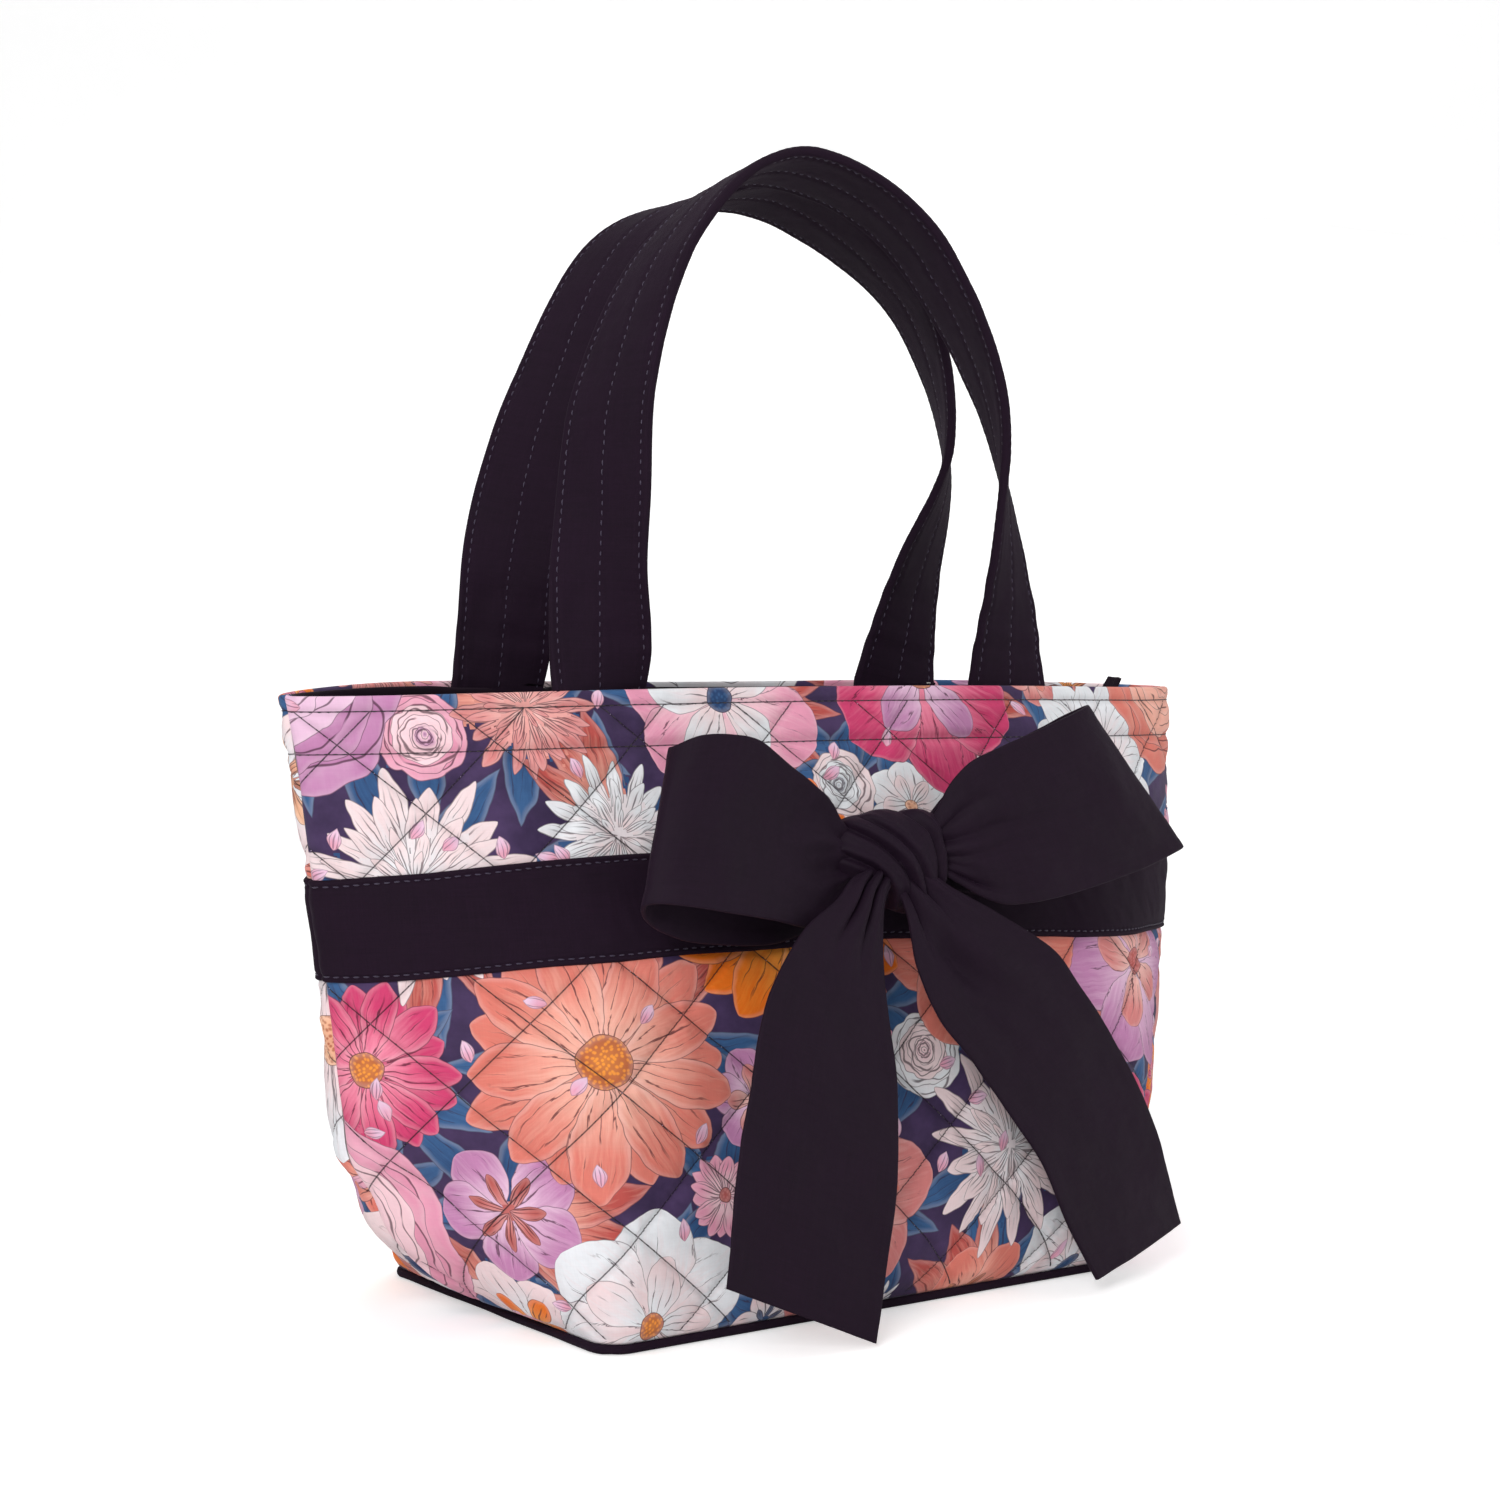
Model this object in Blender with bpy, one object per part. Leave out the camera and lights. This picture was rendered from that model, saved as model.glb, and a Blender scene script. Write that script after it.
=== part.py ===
"""Quilted knitting tote with a plum band, a tied ribbon bow, two strap handles
and a zipped top.

Units are metres, +Z up.  The world origin is the centre of the base, on the floor.
The front of the bag (the side with the bow) faces -Y, and +X is to the right
when the front is looked at.  Every sub-part is its own object.  The handles, zip
slider, zip pull and bow tails have their origins where they turn or slide, the
knot has its own at its centre, and the rest share the world origin.
"""
import bpy
import bmesh
import math
import numpy as np
from mathutils import Vector

MM = 0.001              # the station tables are in millimetres
FRONT, BACK = -1, 1     # sign of y on each side of the bag
SIDES = {FRONT: "front", BACK: "back"}

# ----------------------------------------------------------------------------
# driving dimensions
# ----------------------------------------------------------------------------
GAP = 0.0003            # clearance between neighbouring layers

BASE_W = 0.221          # base, left to right
BASE_D = 0.148          # base, front to back
BASE_T = 0.0030         # thickness of the quilted base
BASE_R = 0.010          # corner radius of the base
BOARD_T = 0.0020        # stiffener board
WALL_FOOT = BASE_T + GAP               # height at which the walls start

RIM_HALF = 0.195        # half the width of the mouth
RIM_Y = -0.0134         # the side seams lean forward by this much at the rim
RIM_Z = 0.2135          # rim height at the side seams
RIM_SAG = {FRONT: 0.0332, BACK: 0.0575}    # how far the rim bows out from the seam line
RIM_RISE = {FRONT: 0.0030, BACK: 0.0045}   # extra rim height in the middle of a side
FRONT_RIM_Z = RIM_Z + RIM_RISE[FRONT]

SKIN = 0.0012           # printed outer cloth
WADDING = 0.0022        # quilting wadding
LINING = 0.0008         # lining cloth
# depths of the layer faces below the outer surface
WADDING_OUTER = SKIN + GAP
WADDING_INNER = WADDING_OUTER + WADDING
LINING_OUTER = WADDING_INNER + GAP
LINING_INNER = LINING_OUTER + LINING

BAND_T = 0.0012         # plum band
# heights as fractions of the wall
BAND_LOW, BAND_MID, BAND_HIGH = 0.557, 0.64, 0.720
FACING_LOW = 0.912      # facing inside the rim starts here
LINING_TOP = FACING_LOW - 0.006

# ----------------------------------------------------------------------------
# materials
# ----------------------------------------------------------------------------
FINISHES = {
    "print": dict(colour=(0.30, 0.14, 0.20), roughness=0.80, metallic=0.0),
    "plum": dict(colour=(0.018, 0.008, 0.020), roughness=0.85, metallic=0.0),
    "lining": dict(colour=(0.016, 0.008, 0.018), roughness=0.80, metallic=0.0),
    "wadding": dict(colour=(0.75, 0.74, 0.72), roughness=0.95, metallic=0.0),
    "board": dict(colour=(0.08, 0.07, 0.08), roughness=0.60, metallic=0.0),
    "tape": dict(colour=(0.020, 0.010, 0.024), roughness=0.80, metallic=0.0),
    "teeth": dict(colour=(0.030, 0.016, 0.034), roughness=0.35, metallic=0.0),
    "metal": dict(colour=(0.34, 0.30, 0.33), roughness=0.30, metallic=0.9),
}


def make_material(finish, piece):
    """A piece's own copy of a finish, named finish.piece."""
    mat = bpy.data.materials.new(f"{finish}.{piece}")
    mat.use_nodes = True
    look = FINISHES[finish]
    inputs = mat.node_tree.nodes["Principled BSDF"].inputs
    inputs["Base Color"].default_value = (*look["colour"], 1.0)
    inputs["Roughness"].default_value = look["roughness"]
    inputs["Metallic"].default_value = look["metallic"]
    return mat


# ----------------------------------------------------------------------------
# objects
# ----------------------------------------------------------------------------
def link_bmesh(name, bm, finish, origin):
    """Turn a bmesh, already relative to `origin`, into a flat-shaded object."""
    bmesh.ops.recalc_face_normals(bm, faces=bm.faces[:])
    mesh = bpy.data.meshes.new(name)
    bm.to_mesh(mesh)
    bm.free()
    mesh.materials.append(make_material(finish, name))
    obj = bpy.data.objects.new(name, mesh)
    obj.location = origin
    bpy.context.scene.collection.objects.link(obj)
    return obj


def add_object(name, solid, finish, origin=(0, 0, 0), sharp_angle=40.0):
    """A smooth-shaded object from (verts, faces) in world coordinates."""
    points, faces = solid
    offset = Vector(origin)
    bm = bmesh.new()
    verts = [bm.verts.new(Vector(point) - offset) for point in points]
    for face in faces:
        bm.faces.new([verts[i] for i in face])
    obj = link_bmesh(name, bm, finish, origin)
    obj.data.shade_smooth()
    obj.data.set_sharp_from_angle(angle=math.radians(sharp_angle))
    return obj


# ----------------------------------------------------------------------------
# generic solids, each returned as (verts, faces)
# ----------------------------------------------------------------------------
def as_verts(*grids):
    return [tuple(point) for grid in grids for point in grid.reshape(-1, 3)]


def grid_faces(rows, cols, start=0, closed=False):
    """Triangles over a grid of vertices; `closed` joins the last column to the first."""
    faces = []
    for i in range(rows - 1):
        for j in range(cols if closed else cols - 1):
            near = start + i * cols + j
            side = start + i * cols + (j + 1) % cols
            faces += [(near, side, side + cols), (near, side + cols, near + cols)]
    return faces


def strip_faces(loop, step):
    """Triangles from a closed loop of vertices to the loop `step` indices further on."""
    faces = []
    for near, side in zip(loop, loop[1:] + loop[:1]):
        faces += [(near, step + near, step + side), (near, step + side, side)]
    return faces


def flipped(faces):
    return [face[::-1] for face in faces]


def sheet_solid(face_a, face_b):
    """Closed solid between two grids of points; both faces are split the same way."""
    rows, cols = face_a.shape[:2]
    step = rows * cols
    border = (list(range(cols))
              + [i * cols + cols - 1 for i in range(1, rows)]
              + [(rows - 1) * cols + j for j in range(cols - 2, -1, -1)]
              + [i * cols for i in range(rows - 2, 0, -1)])
    faces = (grid_faces(rows, cols) + flipped(grid_faces(rows, cols, start=step))
             + strip_faces(border, step))
    return as_verts(face_a, face_b), faces


def tube_solid(outer, inner):
    """Open-ended tube from rings of points (stations x points around x 3)."""
    rows, cols = outer.shape[:2]
    step = rows * cols
    faces = (grid_faces(rows, cols, closed=True)
             + flipped(grid_faces(rows, cols, start=step, closed=True))
             + strip_faces(list(range(cols)), step)
             + flipped(strip_faces(list(range(step - cols, step)), step)))
    return as_verts(outer, inner), faces


def bar_solid(rings):
    """Solid bar from rings of points, split the same way as a tube."""
    rows, cols = rings.shape[:2]
    ends = [tuple(range(cols - 1, -1, -1)), tuple(range((rows - 1) * cols, rows * cols))]
    return as_verts(rings), ends + grid_faces(rows, cols, closed=True)


def extrusion(start, end):
    """Solid between two matching flat outlines of 3D points."""
    count = len(start)
    faces = [tuple(range(count - 1, -1, -1)), tuple(range(count, 2 * count))]
    for i in range(count):
        j = (i + 1) % count
        faces.append((i, j, count + j, count + i))
    return start + end, faces


def prism(outline, z0, z1):
    """Vertical prism over a flat outline."""
    return extrusion([(x, y, z0) for x, y in outline], [(x, y, z1) for x, y in outline])


def box(x0, x1, y0, y1, z0, z1):
    y0, y1 = sorted((y0, y1))
    return prism([(x0, y0), (x1, y0), (x1, y1), (x0, y1)], z0, z1)


def unit(vectors):
    return vectors / np.linalg.norm(vectors, axis=-1, keepdims=True)


def spline(points, count):
    """Catmull-Rom curve through rows of control values."""
    rows = np.array(points, float)
    rows = np.vstack([2 * rows[0] - rows[1], rows, 2 * rows[-1] - rows[-2]])
    along = np.linspace(0, len(points) - 1, count)
    i = np.clip(along.astype(int), 0, len(points) - 2)
    f = (along - i)[:, None]
    p0, p1, p2, p3 = rows[i], rows[i + 1], rows[i + 2], rows[i + 3]
    return 0.5 * (2 * p1 + (p2 - p0) * f + (2 * p0 - 5 * p1 + 4 * p2 - p3) * f * f
                  + (3 * p1 - p0 - 3 * p2 + p3) * f ** 3)


# ----------------------------------------------------------------------------
# the wall surface: a rectangle at the base that turns into a lens at the rim
# ----------------------------------------------------------------------------
CORNER_GROW = 0.034     # corner radius gained from base to rim
FLARE = 0.55            # share of the side flare taken up just above the base
FLARE_POWER = 8         # how quickly that share is taken up
DEPTH_POWER = 1.12      # how the depth blends from base to rim
LENS_INNER_POWER, LENS_OUTER_POWER = 2.2, 0.62   # shape of the mouth's curve
BELLY = 0.0127          # outward swell of the walls, greatest low down
BELLY_FRONT = 0.6       # share of that swell on the front and back faces
BELLY_PEAK, BELLY_POWER = 0.54, 1.13   # place and fullness of the swell up the wall
SWELL_X, SWELL_Y = 0.022, 0.010        # the swell points along (x / SWELL_X, y / SWELL_Y)
SLUMP = 0.0105          # the filled body slumps this far to the right
SLUMP_PEAK, SLUMP_POWER = 0.7, 0.9     # place and fullness of the slump up the wall


def base_curve(u, radius):
    """Front half of the base outline, u = -1..1 from left seam to right seam."""
    half_w, half_d = BASE_W / 2, BASE_D / 2
    straight = half_w - radius
    arc = math.pi * radius / 2
    length = np.abs(u) * (straight + arc + (half_d - radius))
    turn = np.clip((length - straight) / radius, 0, math.pi / 2)
    x = np.minimum(length, straight) + radius * np.sin(turn)
    y = -half_d + radius * (1 - np.cos(turn)) + np.maximum(length - straight - arc, 0)
    return np.sign(u) * x, y


def lens_curve(u, sag):
    """Half outline of the mouth with a softly rounded end, evenly spaced by length."""
    q = np.sin(np.linspace(0, math.pi / 2, 1201))
    x = RIM_HALF * q
    y = -sag * np.clip(1 - q ** LENS_INNER_POWER, 0, 1) ** LENS_OUTER_POWER
    length = np.concatenate([[0], np.cumsum(np.hypot(np.diff(x), np.diff(y)))])
    length /= length[-1]
    share = np.abs(u)
    return np.sign(u) * np.interp(share, length, x), np.interp(share, length, y)


def wall(side, u, h):
    """Outer surface points; u -1..1 from left seam to right seam, h 0..1 up."""
    u, h = np.broadcast_arrays(np.asarray(u, float), np.clip(np.asarray(h, float), 0, 1))
    base_x, base_y = base_curve(u, BASE_R + CORNER_GROW * h)
    rim_x, rim_y = lens_curve(u, RIM_SAG[side])
    blend_x = FLARE * (1 - (1 - h) ** FLARE_POWER) + (1 - FLARE) * h
    blend_y = h ** DEPTH_POWER
    x = base_x * (1 - blend_x) + rim_x * blend_x
    y = base_y * (1 - blend_y) + rim_y * blend_y
    # the tiny term keeps the direction defined where x and y are both zero
    out_x, out_y = x / SWELL_X, y / SWELL_Y + 1e-9
    length = np.hypot(out_x, out_y)
    swell = BELLY * np.abs(np.sin(math.pi * h ** BELLY_PEAK)) ** BELLY_POWER
    slump = SLUMP * np.abs(np.sin(math.pi * h ** SLUMP_PEAK)) ** SLUMP_POWER
    x = x + swell * out_x / length + slump
    y = (y + BELLY_FRONT * swell * out_y / length) * (-side) + RIM_Y * blend_y
    z = WALL_FOOT + (RIM_Z + RIM_RISE[side] * (1 - u * u) - WALL_FOOT) * h
    return np.stack([x, y, z], -1)


def wall_y(side, x, z, u_limit, samples):
    """y of the outer surface at x and z, from samples over u = -u_limit..u_limit."""
    h = (z - WALL_FOOT) / (FRONT_RIM_Z - WALL_FOOT)
    points = wall(side, np.linspace(-u_limit, u_limit, samples), h)
    return np.interp(x, points[:, 0], points[:, 1])


# ----------------------------------------------------------------------------
# wall layers
# ----------------------------------------------------------------------------
U_RIGHT = [0, .14, .28, .42, .53, .575, .62, .70, .79, .87, .93, .97, 1.0]
U_ROW = np.array([-u for u in U_RIGHT[:0:-1]] + U_RIGHT)
END_U = 0.87                       # an inset squeezes the columns beyond this u
EASE_START, EASE_END = 0.70, 0.79  # the ease builds up between these u
ROWS_ALL = [0, .04, .10, .20, .36, BAND_LOW, BAND_MID, BAND_HIGH, .82, FACING_LOW, 1.0]


def wall_grid(side, rows, inset):
    """Grid of outer points and outward normals; `inset` trims the ends near the rim."""
    points = np.zeros((len(rows), len(U_ROW), 3))
    normals = np.zeros_like(points)
    du, dh = 1e-3, 0.01            # half-steps for the slopes
    end_span = 1 - END_U
    for i, h in enumerate(rows):
        size = np.abs(U_ROW)
        squeezed = END_U + (size - END_U) * (end_span - inset * h) / end_span
        u = np.sign(U_ROW) * np.where(size > END_U, squeezed, size)
        along = wall(side, np.clip(u + du, -1, 1), h) - wall(side, np.clip(u - du, -1, 1), h)
        up = wall(side, u, min(h + dh, 1)) - wall(side, u, max(h - dh, 0))
        normal = unit(np.cross(along, up)) * -side
        normal[:, 2] = 0           # layers are set out level, square to the wall
        normal = unit(normal)
        if inset == 0.0:           # untrimmed ends meet the seam square to X
            normal[0] = (-1, 0, 0)
            normal[-1] = (1, 0, 0)
        points[i], normals[i] = wall(side, u, h), normal
    points[..., 1] += side * GAP / 2
    return points, normals


def add_layer(name, side, rows, outer, inner, finish, inset=0.0, ease=(0.0, 0.0)):
    """Wall layer between two depths; `ease` draws its outer and inner faces
    further in towards the side seams."""
    points, normals = wall_grid(side, rows, inset)
    share = np.clip((np.abs(U_ROW) - EASE_START) / (EASE_END - EASE_START), 0, 1)[None, :, None]
    solid = sheet_solid(points - normals * (outer + ease[0] * share),
                        points - normals * (inner + ease[1] * share))
    add_object(name, solid, finish)


def add_walls():
    lining_fit = dict(inset=0.075, ease=(0.0006, 0.0006))
    for side, word in SIDES.items():
        add_layer(word + "_panel", side, ROWS_ALL, 0.0, SKIN, "print")
        add_layer(word + "_wadding", side, ROWS_ALL, WADDING_OUTER, WADDING_INNER, "wadding",
                  inset=0.045, ease=(0.0005, 0.0))
        add_layer(word + "_lining", side, ROWS_ALL[:-2] + [LINING_TOP],
                  LINING_OUTER, LINING_INNER, "lining", **lining_fit)
        add_layer(word + "_facing", side, [FACING_LOW, 1.0],
                  LINING_OUTER, LINING_INNER, "plum", **lining_fit)
        add_layer(word + "_band", side, [BAND_LOW, BAND_MID, BAND_HIGH],
                  -GAP - BAND_T, -GAP, "plum")


# ----------------------------------------------------------------------------
# base: quilted plum panel, stiffener board, lining
# ----------------------------------------------------------------------------
BASE_INSET = LINING_INNER + 0.0010     # board and lining stand in from the base edge
INNER_R = BASE_R * 0.6                 # their corner radius
CORNER_STEPS = 5


def rounded_rect(half_w, half_d, radius):
    cx, cy = half_w - radius, half_d - radius
    corners = [(cx, -cy, -90), (cx, cy, 0), (-cx, cy, 90), (-cx, -cy, 180)]
    points = []
    for x, y, start in corners:
        for k in range(CORNER_STEPS + 1):
            angle = math.radians(start + 90 * k / CORNER_STEPS)
            points.append((x + radius * math.cos(angle), y + radius * math.sin(angle)))
    return points


def add_base():
    outline = rounded_rect(BASE_W / 2, BASE_D / 2, BASE_R)
    inner = rounded_rect(BASE_W / 2 - BASE_INSET, BASE_D / 2 - BASE_INSET, INNER_R)
    board_z = BASE_T + GAP
    lining_z = board_z + BOARD_T + GAP
    add_object("base_panel", prism(outline, 0.0, BASE_T), "plum")
    add_object("base_board", prism(inner, board_z, board_z + BOARD_T), "board")
    add_object("base_lining", prism(inner, lining_z, lining_z + LINING), "lining")


# ----------------------------------------------------------------------------
# zip: panels, tapes, teeth, stops and end tab
# ----------------------------------------------------------------------------
ZIP_Y = -0.002          # the zip runs along X at this y
ZIP_Z = 0.1960          # height of the zip tape
ZIP_X0, ZIP_X1 = -0.124, 0.116        # ends of the row of teeth

ZIP_PANEL_HALF = 0.150  # half length of the cloth panels beside the zip
ZIP_PANEL_HALF_T = 0.0005
ZIP_PANEL_CLEAR = 0.0012               # from the lining

# distances across the zip are from its centre line
TAPE_INNER = 0.0030
TAPE_W = 0.0098
TAPE_HALF_T = 0.0003
TAPE_PAST_X0, TAPE_PAST_X1 = 0.008, 0.006      # tape beyond the teeth

TOOTH_PITCH = 0.004
TOOTH_L = TOOTH_PITCH / 2 - GAP        # along the zip
TOOTH_START = 0.0002                   # first front tooth from the rail's end
TOOTH_REACH = 0.0009                   # tips reach this far past the centre line
TEETH_HALF_T = 0.0010
RAIL_INNER, RAIL_OUTER = 0.0012, 0.0027

STOP_HALF_T = 0.0012
TOP_STOP_END = 0.0035                  # far end of the top stops from the teeth
TOP_STOP_INNER = 0.0004
BOTTOM_STOP_END = 0.0042

TAB_X0, TAB_X1 = ZIP_X1 + 0.0065, 0.176
TAB_BOTTOM = ZIP_Z - 0.004
TAB_TOP0, TAB_TOP1 = 0.1995, 0.2185    # top edge at each end
TAB_HALF_T = 0.0012
TAB_DRIFT = 0.006                      # moves forward by this much along its length


def add_zip_panel(side, word):
    x = np.linspace(-ZIP_PANEL_HALF, ZIP_PANEL_HALF, 15)
    wall_edge = (wall_y(side, x, ZIP_Z, u_limit=0.9, samples=61)
                 - side * (LINING_INNER + ZIP_PANEL_CLEAR))
    zip_edge = np.full_like(x, ZIP_Y + side * (TAPE_INNER + TAPE_W + GAP))

    def face(z):
        return np.array([[(px, py, z) for px, py in zip(x, edge)]
                         for edge in (wall_edge, zip_edge)])

    solid = sheet_solid(face(ZIP_Z - ZIP_PANEL_HALF_T), face(ZIP_Z + ZIP_PANEL_HALF_T))
    add_object("zip_panel_" + word, solid, "lining")


def add_zip_tape(side, word):
    solid = box(ZIP_X0 - TAPE_PAST_X0, ZIP_X1 + TAPE_PAST_X1,
                ZIP_Y + side * TAPE_INNER, ZIP_Y + side * (TAPE_INNER + TAPE_W),
                ZIP_Z - TAPE_HALF_T, ZIP_Z + TAPE_HALF_T)
    add_object("zip_tape_" + word, solid, "tape")


def add_zip_teeth(side, word):
    """A comb: a rail with teeth that reach between the other side's teeth."""
    root = ZIP_Y + side * RAIL_INNER
    tip = ZIP_Y - side * TOOTH_REACH
    rail = ZIP_Y + side * RAIL_OUTER
    start = ZIP_X0 + TOOTH_START + (0 if side == FRONT else TOOTH_PITCH / 2)
    teeth = []
    for k in range(round((ZIP_X1 - ZIP_X0) / TOOTH_PITCH)):
        x0 = start + k * TOOTH_PITCH
        x1 = x0 + TOOTH_L
        teeth += [(x0, root), (x0, tip), (x1, tip), (x1, root)]
    outline = [(ZIP_X1, root)] + teeth[::-1] + [(ZIP_X0, root), (ZIP_X0, rail), (ZIP_X1, rail)]
    solid = prism(outline, ZIP_Z - TEETH_HALF_T, ZIP_Z + TEETH_HALF_T)
    add_object("zip_teeth_" + word, solid, "teeth")


def add_top_stop(side, word):
    solid = box(ZIP_X0 - TOP_STOP_END, ZIP_X0 - GAP,
                ZIP_Y + side * TOP_STOP_INNER, ZIP_Y + side * RAIL_OUTER,
                ZIP_Z - STOP_HALF_T, ZIP_Z + STOP_HALF_T)
    add_object("zip_top_stop_" + word, solid, "metal")


def add_bottom_stop():
    solid = box(ZIP_X1 + GAP, ZIP_X1 + BOTTOM_STOP_END,
                ZIP_Y - RAIL_OUTER, ZIP_Y + RAIL_OUTER,
                ZIP_Z - STOP_HALF_T, ZIP_Z + STOP_HALF_T)
    add_object("zip_bottom_stop", solid, "metal")


def add_end_tab():
    """The cloth tab past the right end of the zip stands on edge between the walls."""
    share = np.linspace(0, 1, 7)
    x = np.linspace(TAB_X0, TAB_X1, 7)
    y = ZIP_Y - TAB_HALF_T - TAB_DRIFT * share
    top = TAB_TOP0 + (TAB_TOP1 - TAB_TOP0) * np.sin(share * math.pi / 2) ** 0.8
    front = np.stack([np.stack([x, y, np.full_like(x, TAB_BOTTOM)], -1),
                      np.stack([x, y, top], -1)])
    back = front + np.array([0, 2 * TAB_HALF_T, 0])
    add_object("zip_end_tab", sheet_solid(front, back), "lining")


# ----------------------------------------------------------------------------
# zip slider and pull
# ----------------------------------------------------------------------------
SLIDER_X = -0.112       # slider, zip closed
SLIDER_ORIGIN = (SLIDER_X, ZIP_Y, ZIP_Z)
SLIDER_HALF_L = 0.0058
CHANNEL_Z = ZIP_Z + TEETH_HALF_T + GAP         # roof of the channel over the teeth
SLIDER_TOP = CHANNEL_Z + 0.0011
SKIRT_Z = ZIP_Z + 0.0007                       # lower edge of the slider's sides
CHAMFER_Z = SLIDER_TOP - 0.0004
# cross-section: y from the centre line, z
SLIDER_PROFILE = [
    (-0.0046, SKIRT_Z), (-0.0032, SKIRT_Z), (-0.0032, CHANNEL_Z), (0.0032, CHANNEL_Z),
    (0.0032, SKIRT_Z), (0.0046, SKIRT_Z), (0.0046, CHAMFER_Z), (0.0040, SLIDER_TOP),
    (-0.0040, SLIDER_TOP), (-0.0046, CHAMFER_Z)]

BRIDGE_HALF_W = 0.0011
# side view: x from the slider's centre, z above the slider's top
BRIDGE_PROFILE = [
    (-0.0040, -0.0005), (-0.0040, 0.0022), (-0.0030, 0.0032), (0.0030, 0.0032),
    (0.0040, 0.0022), (0.0040, -0.0005), (0.0026, -0.0005), (0.0026, 0.0018),
    (-0.0026, 0.0018), (-0.0026, -0.0005)]

PULL_ORIGIN = (SLIDER_X, ZIP_Y, SLIDER_TOP + 0.0009)
PULL_T = 0.0010
# plan outlines: x, y from the pull's cross bar
PULL_OUTLINE = [
    (0.0006, -0.0036), (0.0006, 0.0036), (-0.0080, 0.0036), (-0.0110, 0.0028),
    (-0.0270, 0.0036), (-0.0290, 0.0020), (-0.0290, -0.0020), (-0.0270, -0.0036),
    (-0.0110, -0.0028), (-0.0080, -0.0036)]
PULL_EYE = [(-0.0006, -0.0019), (-0.0006, 0.0019), (-0.0060, 0.0019), (-0.0060, -0.0019)]


def add_slider():
    """A shallow channel over the teeth with a bridge for the pull."""
    ends = [[(SLIDER_X + end, ZIP_Y + y, z) for y, z in SLIDER_PROFILE]
            for end in (-SLIDER_HALF_L, SLIDER_HALF_L)]
    slider = add_object("zip_slider", extrusion(*ends), "metal", SLIDER_ORIGIN)
    cheeks = [[(SLIDER_X + x, ZIP_Y + y, SLIDER_TOP + z) for x, z in BRIDGE_PROFILE]
              for y in (-BRIDGE_HALF_W, BRIDGE_HALF_W)]
    bridge = add_object("guide_bridge", extrusion(*cheeks), "metal", SLIDER_ORIGIN)
    bridge.hide_render = True
    bridge.display_type = "WIRE"
    union = slider.modifiers.new("bridge", "BOOLEAN")
    union.operation = "UNION"
    union.solver = "EXACT"
    union.object = bridge


def add_pull():
    """A flat tongue with an eye; its cross bar sits under the bridge."""
    bm = bmesh.new()
    edges = []
    for outline in (PULL_OUTLINE, PULL_EYE):
        verts = [bm.verts.new((x, y, 0)) for x, y in outline]
        edges += [bm.edges.new(pair) for pair in zip(verts, verts[1:] + verts[:1])]
    bmesh.ops.triangle_fill(bm, use_beauty=True, edges=edges)
    extruded = bmesh.ops.extrude_face_region(bm, geom=bm.faces[:])["geom"]
    top = [item for item in extruded if isinstance(item, bmesh.types.BMVert)]
    bmesh.ops.translate(bm, verts=bm.verts[:], vec=(0, 0, -PULL_T / 2))
    bmesh.ops.translate(bm, verts=top, vec=(0, 0, PULL_T))
    link_bmesh("zip_pull", bm, "metal", PULL_ORIGIN)


def add_zip():
    for side, word in SIDES.items():
        add_zip_panel(side, word)
        add_zip_tape(side, word)
        add_zip_teeth(side, word)
        add_top_stop(side, word)
    add_bottom_stop()
    add_end_tab()
    add_slider()
    add_pull()


# ----------------------------------------------------------------------------
# strap handles: a stitched cloth tube over a flat core
# ----------------------------------------------------------------------------
STRAP_W = 0.039
STRAP_T = 0.0032
STRAP_WALL = 0.0008
STRAP_CLEAR = 0.0042    # strap solids start this far above the rim
HINGE_U = 0.46          # place along the rim that sets the y of a handle's hinge
HINGE_OFFSET = 0.0004   # the hinge lies this far outside and above the rim
# stations from left sewn end to right sewn end: x, y, z in millimetres, and the
# turn of the strap's face in degrees (90 = face parallel to the panel it is
# sewn to, 0 = face looking outward from the arch)
STRAP_STATIONS = {
    FRONT: [(-90, -37, 215, 95), (-88, -37, 265, 33), (-82, -35, 319, 11),
            (-56, -32, 371, -4), (-10, -28, 400, -9), (45, -32, 382, 4),
            (81, -36, 327, 22), (91, -37, 270, 53), (91, -37, 215, 87)],
    BACK: [(-90, 31, 215, 95), (-83, 29, 269, 43), (-69, 25, 324, 21),
           (-36, 21, 377, 6), (24, 17, 396, -9), (86, 19, 365, 11),
           (110, 22, 308, 37), (100, 29, 256, 65), (91, 31, 215, 90)],
}


def strap_frames(stations, z_min, count):
    """Centres, width directions and face normals along the strap above z_min."""
    table = np.array(stations, float)
    table[:, :3] *= MM
    curve = spline(table, 801)
    centre, turn = curve[:, :3], np.radians(curve[:, 3])[:, None]
    tangent = unit(np.gradient(centre, axis=0))
    in_arch = unit(np.stack([-tangent[:, 2], np.zeros(len(curve)), tangent[:, 0]], -1))
    across = np.cross(in_arch, tangent)
    across *= np.sign(across[:, 1:2])
    width = np.cos(turn) * across + np.sin(turn) * in_arch
    width = unit(width - tangent * (width * tangent).sum(1)[:, None])
    normal = np.cross(width, tangent)
    above = np.where(centre[:, 2] >= z_min)[0]
    pick = np.round(np.linspace(above[0], above[-1], count)).astype(int)
    return centre[pick], width[pick], normal[pick]


def strap_rings(frames, inset):
    """Rectangular rings round the strap, `inset` in from its surface."""
    centre, width, normal = frames
    strap_w, strap_t = STRAP_W - 2 * inset, STRAP_T - 2 * inset
    shares = np.linspace(-0.5, 0.5, 3)
    upper = [centre + width * strap_w * u + normal * strap_t / 2 for u in shares]
    lower = [centre + width * strap_w * u - normal * strap_t / 2 for u in shares[::-1]]
    return np.stack(upper + lower, 1)


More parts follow.
